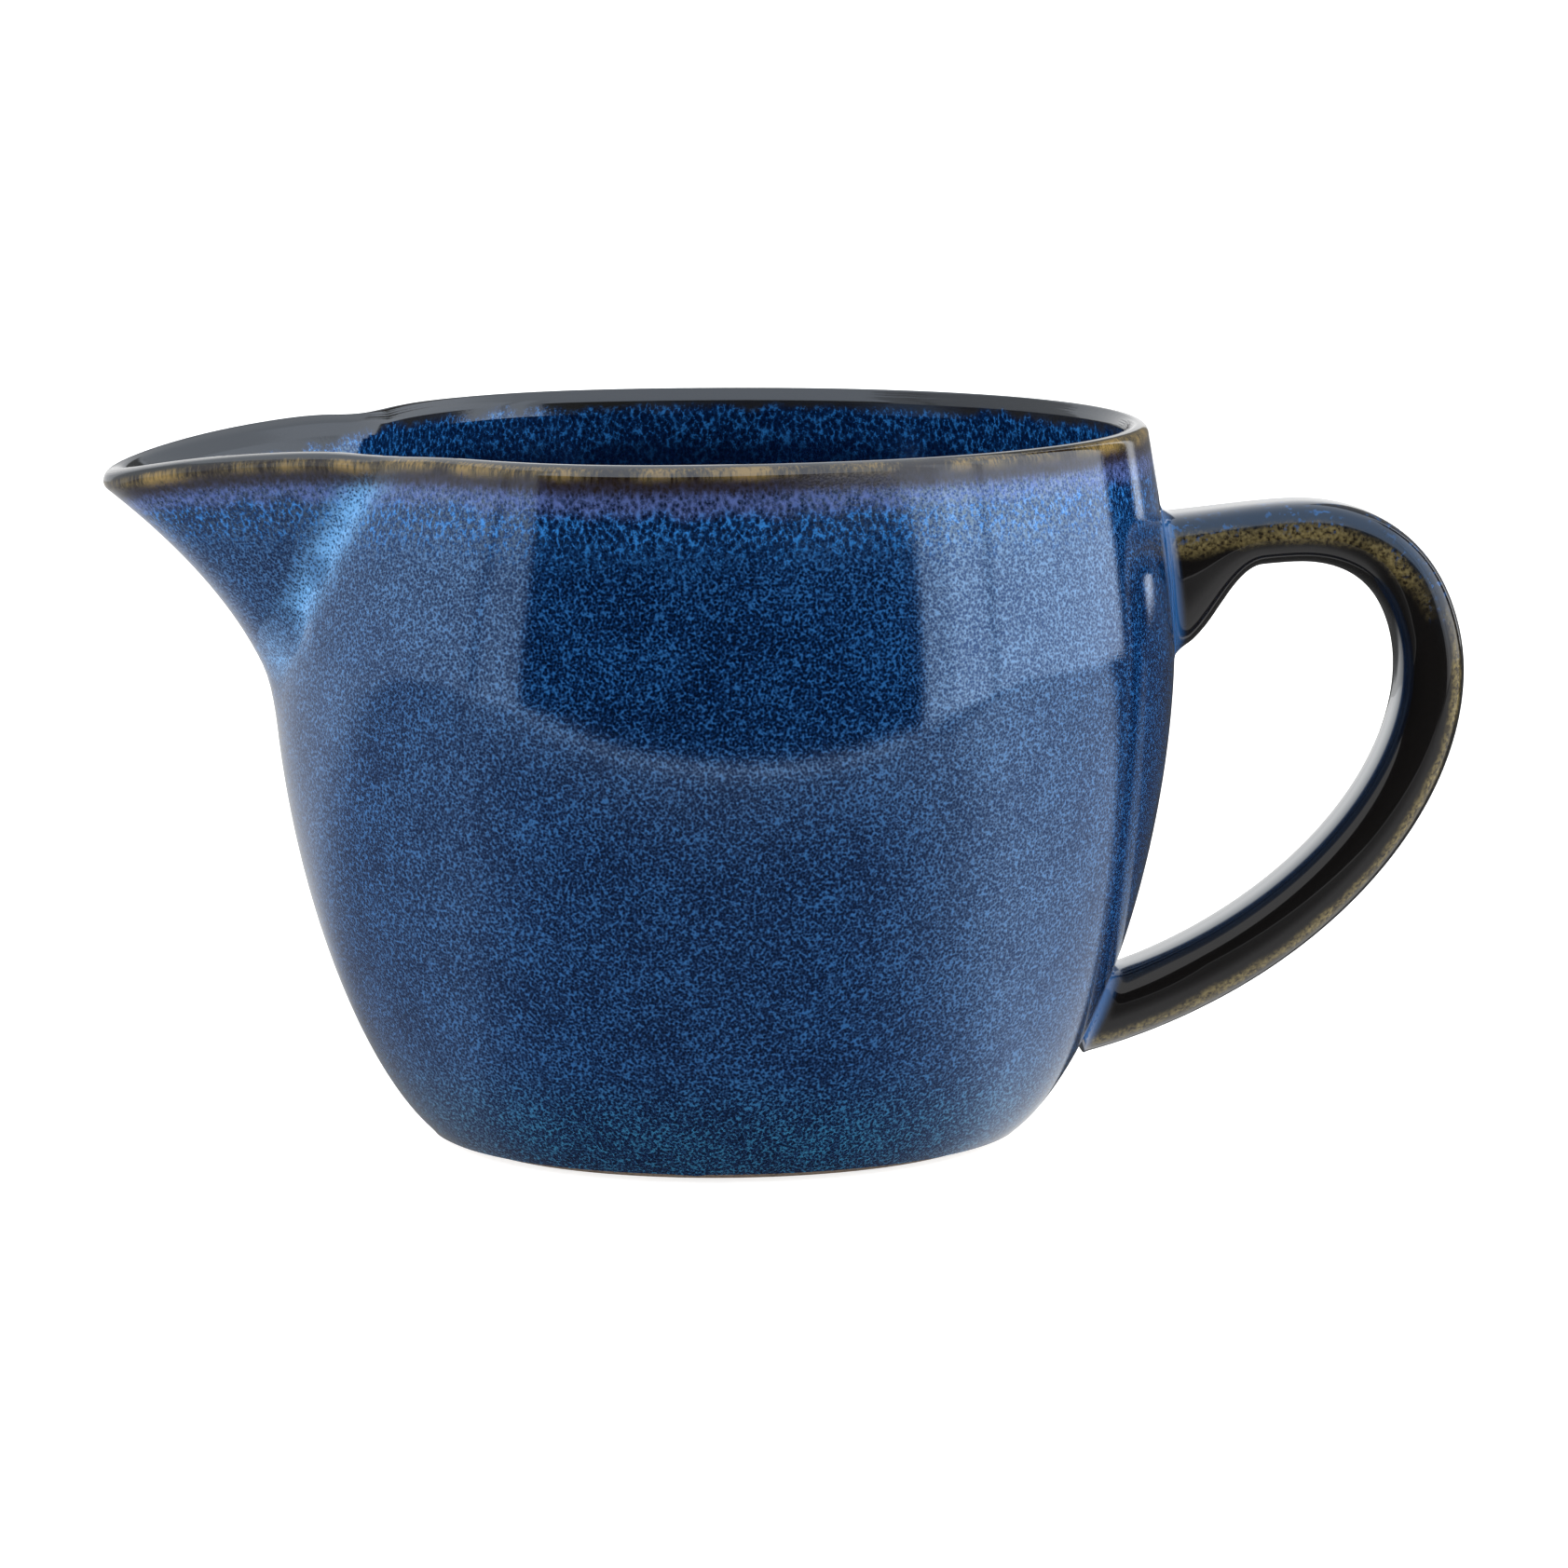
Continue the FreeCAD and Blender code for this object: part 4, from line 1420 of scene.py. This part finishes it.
@dataclass
class Studio:
    """Floor, cards, sky and camera.

    The camera looks from its azimuth and elevation at a point on the axis, at aim_height, and is
    then turned to put what is aim_right and aim_up of that point in the middle.
    """

    camera_azimuth: float = math.radians(-5.0)
    camera_elevation: float = math.radians(7.687)
    camera_distance: float = 1000.0
    camera_lens: float = 189.7
    camera_roll: float = math.radians(-0.428)
    aim_height: float = 43.4
    aim_right: float = 7.18
    aim_up: float = -0.97
    sky: float = 1.0
    floor_tone: float = 0.50
    floor_glow: float = 0.76
    floor_reach: float = 6000.0
    floor_level: float = -0.05
    table_edge: float = 221.0
    table_reach: float = 900.0
    table_level: float = -0.5
    card_steps: int = 120
    cards: tuple[Card, ...] = (
        Card("dark_window", -52, 51, -900, 345, 0.0, 1400.0, corner=(13.0, 70.0)),
        Card("left_softbox", -128, -52, -300, 1500, 0.50, 1500.0),
        Card("right_rim_strip", 51, 59, -420, 1300, 0.90, 1480.0),
        Card("right_softbox", 53, 120, -420, 1300, 1.28, 1500.0),
        Card("right_gap", 120, 137, -900, 1500, 0.0, 1450.0),
        Card("right_line", 137, 142.5, -900, 1500, 1.25, 1450.0),
        Card("right_return", 142.5, 168, -900, 1500, 0.16, 1450.0),
        Card("right_seam", 70.0, 72.2, -420, 1300, 0.60, 1470.0),
        Card("left_seam", -66.4, -64.2, -300, 1500, 0.18, 1470.0),
        Card("right_key", 58, 165, -200, 1300, 7.5, 1600.0, Role.LIGHT),
        Card("left_key", -112, -50, -200, 1300, 6.0, 1600.0, Role.LIGHT),
    )

    def basis(self) -> tuple[Vector, Vector, Vector]:
        """The camera's directions, for an azimuth round the axis and an elevation above level.

        Returns:
            Right, up and back, as unit vectors.
        """
        a, e = self.camera_azimuth, self.camera_elevation
        back = Vector((math.sin(a) * math.cos(e), -math.cos(a) * math.cos(e), math.sin(e)))
        right = Vector((math.cos(a), math.sin(a), 0.0))
        return right, back.cross(right), back

    def place_camera(self) -> None:
        """Puts the camera where it looks a little right of the axis, with a slight roll."""
        right, up, back = self.basis()
        target = Vector((0, 0, self.aim_height))
        eye = target + back * self.camera_distance
        aim = target + right * self.aim_right + up * self.aim_up
        z = (eye - aim).normalized()
        x = Vector((0, 0, 1)).cross(z).normalized()
        turn = Matrix((x, z.cross(x), z)).transposed().to_4x4() @ Matrix.Rotation(self.camera_roll, 4, "Z")
        data = bpy.data.cameras.new("camera")
        data.lens, data.sensor_width = self.camera_lens, 36.0
        data.clip_start, data.clip_end = 0.01, 50.0
        camera = bpy.data.objects.new("camera", data)
        camera.matrix_world = Matrix.Translation(eye * MM) @ turn
        bpy.context.scene.collection.objects.link(camera)
        bpy.context.scene.camera = camera

    @staticmethod
    def plain(name: str, tone: float, glow: float) -> bpy.types.Material:
        """A matt grey material that also glows.

        Args:
            name: The material's name.
            tone: Grey of the matt part.
            glow: Strength of the white glow.

        Returns:
            The material.
        """
        material = bpy.data.materials.new(name)
        material.use_nodes = True
        shader = material.node_tree.nodes["Principled BSDF"]
        shader.inputs["Base Color"].default_value = (tone, tone, tone, 1.0)
        shader.inputs["Roughness"].default_value = 1.0
        shader.inputs["Specular IOR Level"].default_value = 0.0
        shader.inputs["Emission Color"].default_value = (1.0, 1.0, 1.0, 1.0)
        shader.inputs["Emission Strength"].default_value = glow
        return material

    @staticmethod
    def one_sided(material: bpy.types.Material) -> bpy.types.Material:
        """Makes a material clear from behind, so that the floor doesn't hide the underside.

        Args:
            material: A material with one shader.

        Returns:
            The same material.
        """
        nodes, links = material.node_tree.nodes, material.node_tree.links
        mix, clear = nodes.new("ShaderNodeMixShader"), nodes.new("ShaderNodeBsdfTransparent")
        side = nodes.new("ShaderNodeNewGeometry")
        links.new(side.outputs["Backfacing"], mix.inputs[0])
        links.new(nodes["Principled BSDF"].outputs[0], mix.inputs[1])
        links.new(clear.outputs[0], mix.inputs[2])
        links.new(mix.outputs[0], nodes["Material Output"].inputs["Surface"])
        return material

    @staticmethod
    def sheet(name: str, points: Array) -> bpy.types.Object:
        """An open surface through a grid of points, with a face between each four neighbours.

        Args:
            name: The piece's name.
            points: Rows x columns x 3, in millimetres.

        Returns:
            The object.
        """
        rows, n = points.shape[:2]
        i = (np.arange(rows - 1) * n)[:, None] + np.arange(n - 1)[None, :]
        faces = np.stack([i, i + 1, i + n + 1, i + n], axis=-1).reshape(-1, 4)
        mesh = bpy.data.meshes.new(name)
        mesh.from_pydata((points.reshape(-1, 3) * MM).tolist(), [], faces.tolist())
        piece = bpy.data.objects.new(name, mesh)
        bpy.context.scene.collection.objects.link(piece)
        return piece

    def stand_card(self, card: Card) -> None:
        """Bends a card round the axis: distance (sin b, -cos b) in plan at the bearing b.

        Its upper corners are quarter ellipses.

        Args:
            card: The card.
        """
        degrees = np.linspace(card.start, card.end, self.card_steps + 1)
        bearing = np.radians(degrees) + self.camera_azimuth
        wide, tall = card.corner
        to_side = np.minimum(degrees - card.start, card.end - degrees)
        into = np.clip(1 - to_side / max(wide, 1e-6), 0, 1)
        upper = card.high - tall * (1 - np.sqrt(1 - into**2))
        z = np.stack([np.full_like(upper, card.low), upper])
        x = np.tile(card.distance * np.sin(bearing), (2, 1))
        y = np.tile(-card.distance * np.cos(bearing), (2, 1))
        piece = self.sheet(card.name, np.stack([x, y, z], axis=-1))
        piece.data.materials.append(self.plain(card.name, 0.0, card.glow))
        piece.visible_camera = False
        piece.visible_shadow = False
        piece.visible_diffuse = card.role is Role.LIGHT
        piece.visible_glossy = card.role is Role.GLOSS

    def level(self, name: str, across: float, near: float, far: float, height: float) -> bpy.types.Object:
        """A level rectangle.

        Args:
            name: The piece's name.
            across: How far it reaches to each side.
            near: Place of its near edge, along Y.
            far: Place of its far edge.
            height: Its height.

        Returns:
            The object.
        """
        edges = [[[side * across, y, height] for side in (-1, 1)] for y in (near, far)]
        return self.sheet(name, np.array(edges))

    def lay_floor(self) -> None:
        """A wide pale floor that only the camera and matt surfaces see, and a table for the gloss."""
        reach = self.floor_reach
        floor = self.level("floor", reach, -reach, reach, self.floor_level)
        pale = self.plain("pale_floor", self.floor_tone, self.floor_glow)
        floor.data.materials.append(self.one_sided(pale))
        floor.visible_glossy = False
        wide = self.table_reach
        table = self.level("table_in_gloss", wide, -self.table_edge, wide, self.table_level)
        table.data.materials.append(self.table_glow("table_in_gloss"))
        table.visible_camera = table.visible_shadow = table.visible_diffuse = False

    @staticmethod
    def table_glow(name: str) -> bpy.types.Material:
        """The table as the gloss sees it: dim in front, bright at its near edge and to the sides.

        The sideways measure is x over the distance in front of the axis, so it is even along any
        straight line out from the pitcher. Places along a line are in metres. The right side's
        glow ends on a line behind the handle, the near edge is shaded to the right of the middle,
        and there is a paler patch behind the beak.

        Args:
            name: The material's name.

        Returns:
            The material.
        """
        t = Tree(name)
        least = 0.02
        forward = t.times(t.axis(1), -1.0)
        front = t.math("MAXIMUM", forward, least)
        aside = t.math("DIVIDE", t.axis(0), front)
        turned = t.math("DIVIDE", forward, t.math("MAXIMUM", t.axis(0), least))
        right = t.times(t.times(t.fade(aside, 0.2, 2.0), 0.60), t.fade(turned, -0.34, -0.24))
        left = t.times(t.fade(aside, -0.5, -2.4), 0.17)
        behind = t.times(t.fade(forward, -0.03, -0.14), t.times(t.fade(t.axis(0), 0.0, -0.05), 0.35))
        far = t.times(t.fade(front, 0.10, 0.215), 0.14)
        rim = t.times(t.fade(front, 0.201, 0.212), 0.50)
        glow = t.total(t.total(right, left), t.total(far, rim, 0.06, behind))
        shade = t.times(t.fade(aside, 0.6, 1.2), t.fade(front, 0.186, 0.198))
        glow = t.times(glow, t.less(1.0, t.times(shade, 0.8)))
        t.feed(t.shader.inputs["Base Color"], (0.0, 0.0, 0.0))
        t.shader.inputs["Specular IOR Level"].default_value = 0.0
        t.feed(t.shader.inputs["Emission Color"], (1.0, 1.0, 1.0))
        t.feed(t.shader.inputs["Emission Strength"], glow)
        return t.material

    def light_sky(self) -> None:
        """An even white sky."""
        world = bpy.data.worlds.new("sky")
        world.use_nodes = True
        shade = world.node_tree.nodes["Background"]
        shade.inputs["Color"].default_value = (1.0, 1.0, 1.0, 1.0)
        shade.inputs["Strength"].default_value = self.sky
        bpy.context.scene.world = world

    def build(self) -> None:
        """Sets up the whole studio."""
        for card in self.cards:
            self.stand_card(card)
        self.lay_floor()
        self.light_sky()
        self.place_camera()
        bpy.context.scene.view_settings.view_transform = "Standard"


def main() -> None:
    """Builds the looks in order."""
    logging.basicConfig(level=logging.INFO, format="%(name)s: %(message)s")
    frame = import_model()
    rim_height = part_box("rim_glaze")[1][2] / MM
    belly_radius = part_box("outer_glaze")[1][1] / MM
    floor_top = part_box("inner_glaze")[0][2] / MM + Outline.glaze
    outline = Outline(rim_height=rim_height, belly_radius=belly_radius)
    LOG.info("rim %.2f mm, belly %.2f mm, floor %.2f mm", rim_height, belly_radius, floor_top)
    ClayBody(frame["nodes"]).dress()
    for piece in (VesselGlaze(outline, floor_top).build(), HandleGlaze(outline).build()):
        LOG.info("built %s with %d faces", piece.name, len(piece.data.polygons))
    Studio().build()


if __name__ == "__main__":
    main()
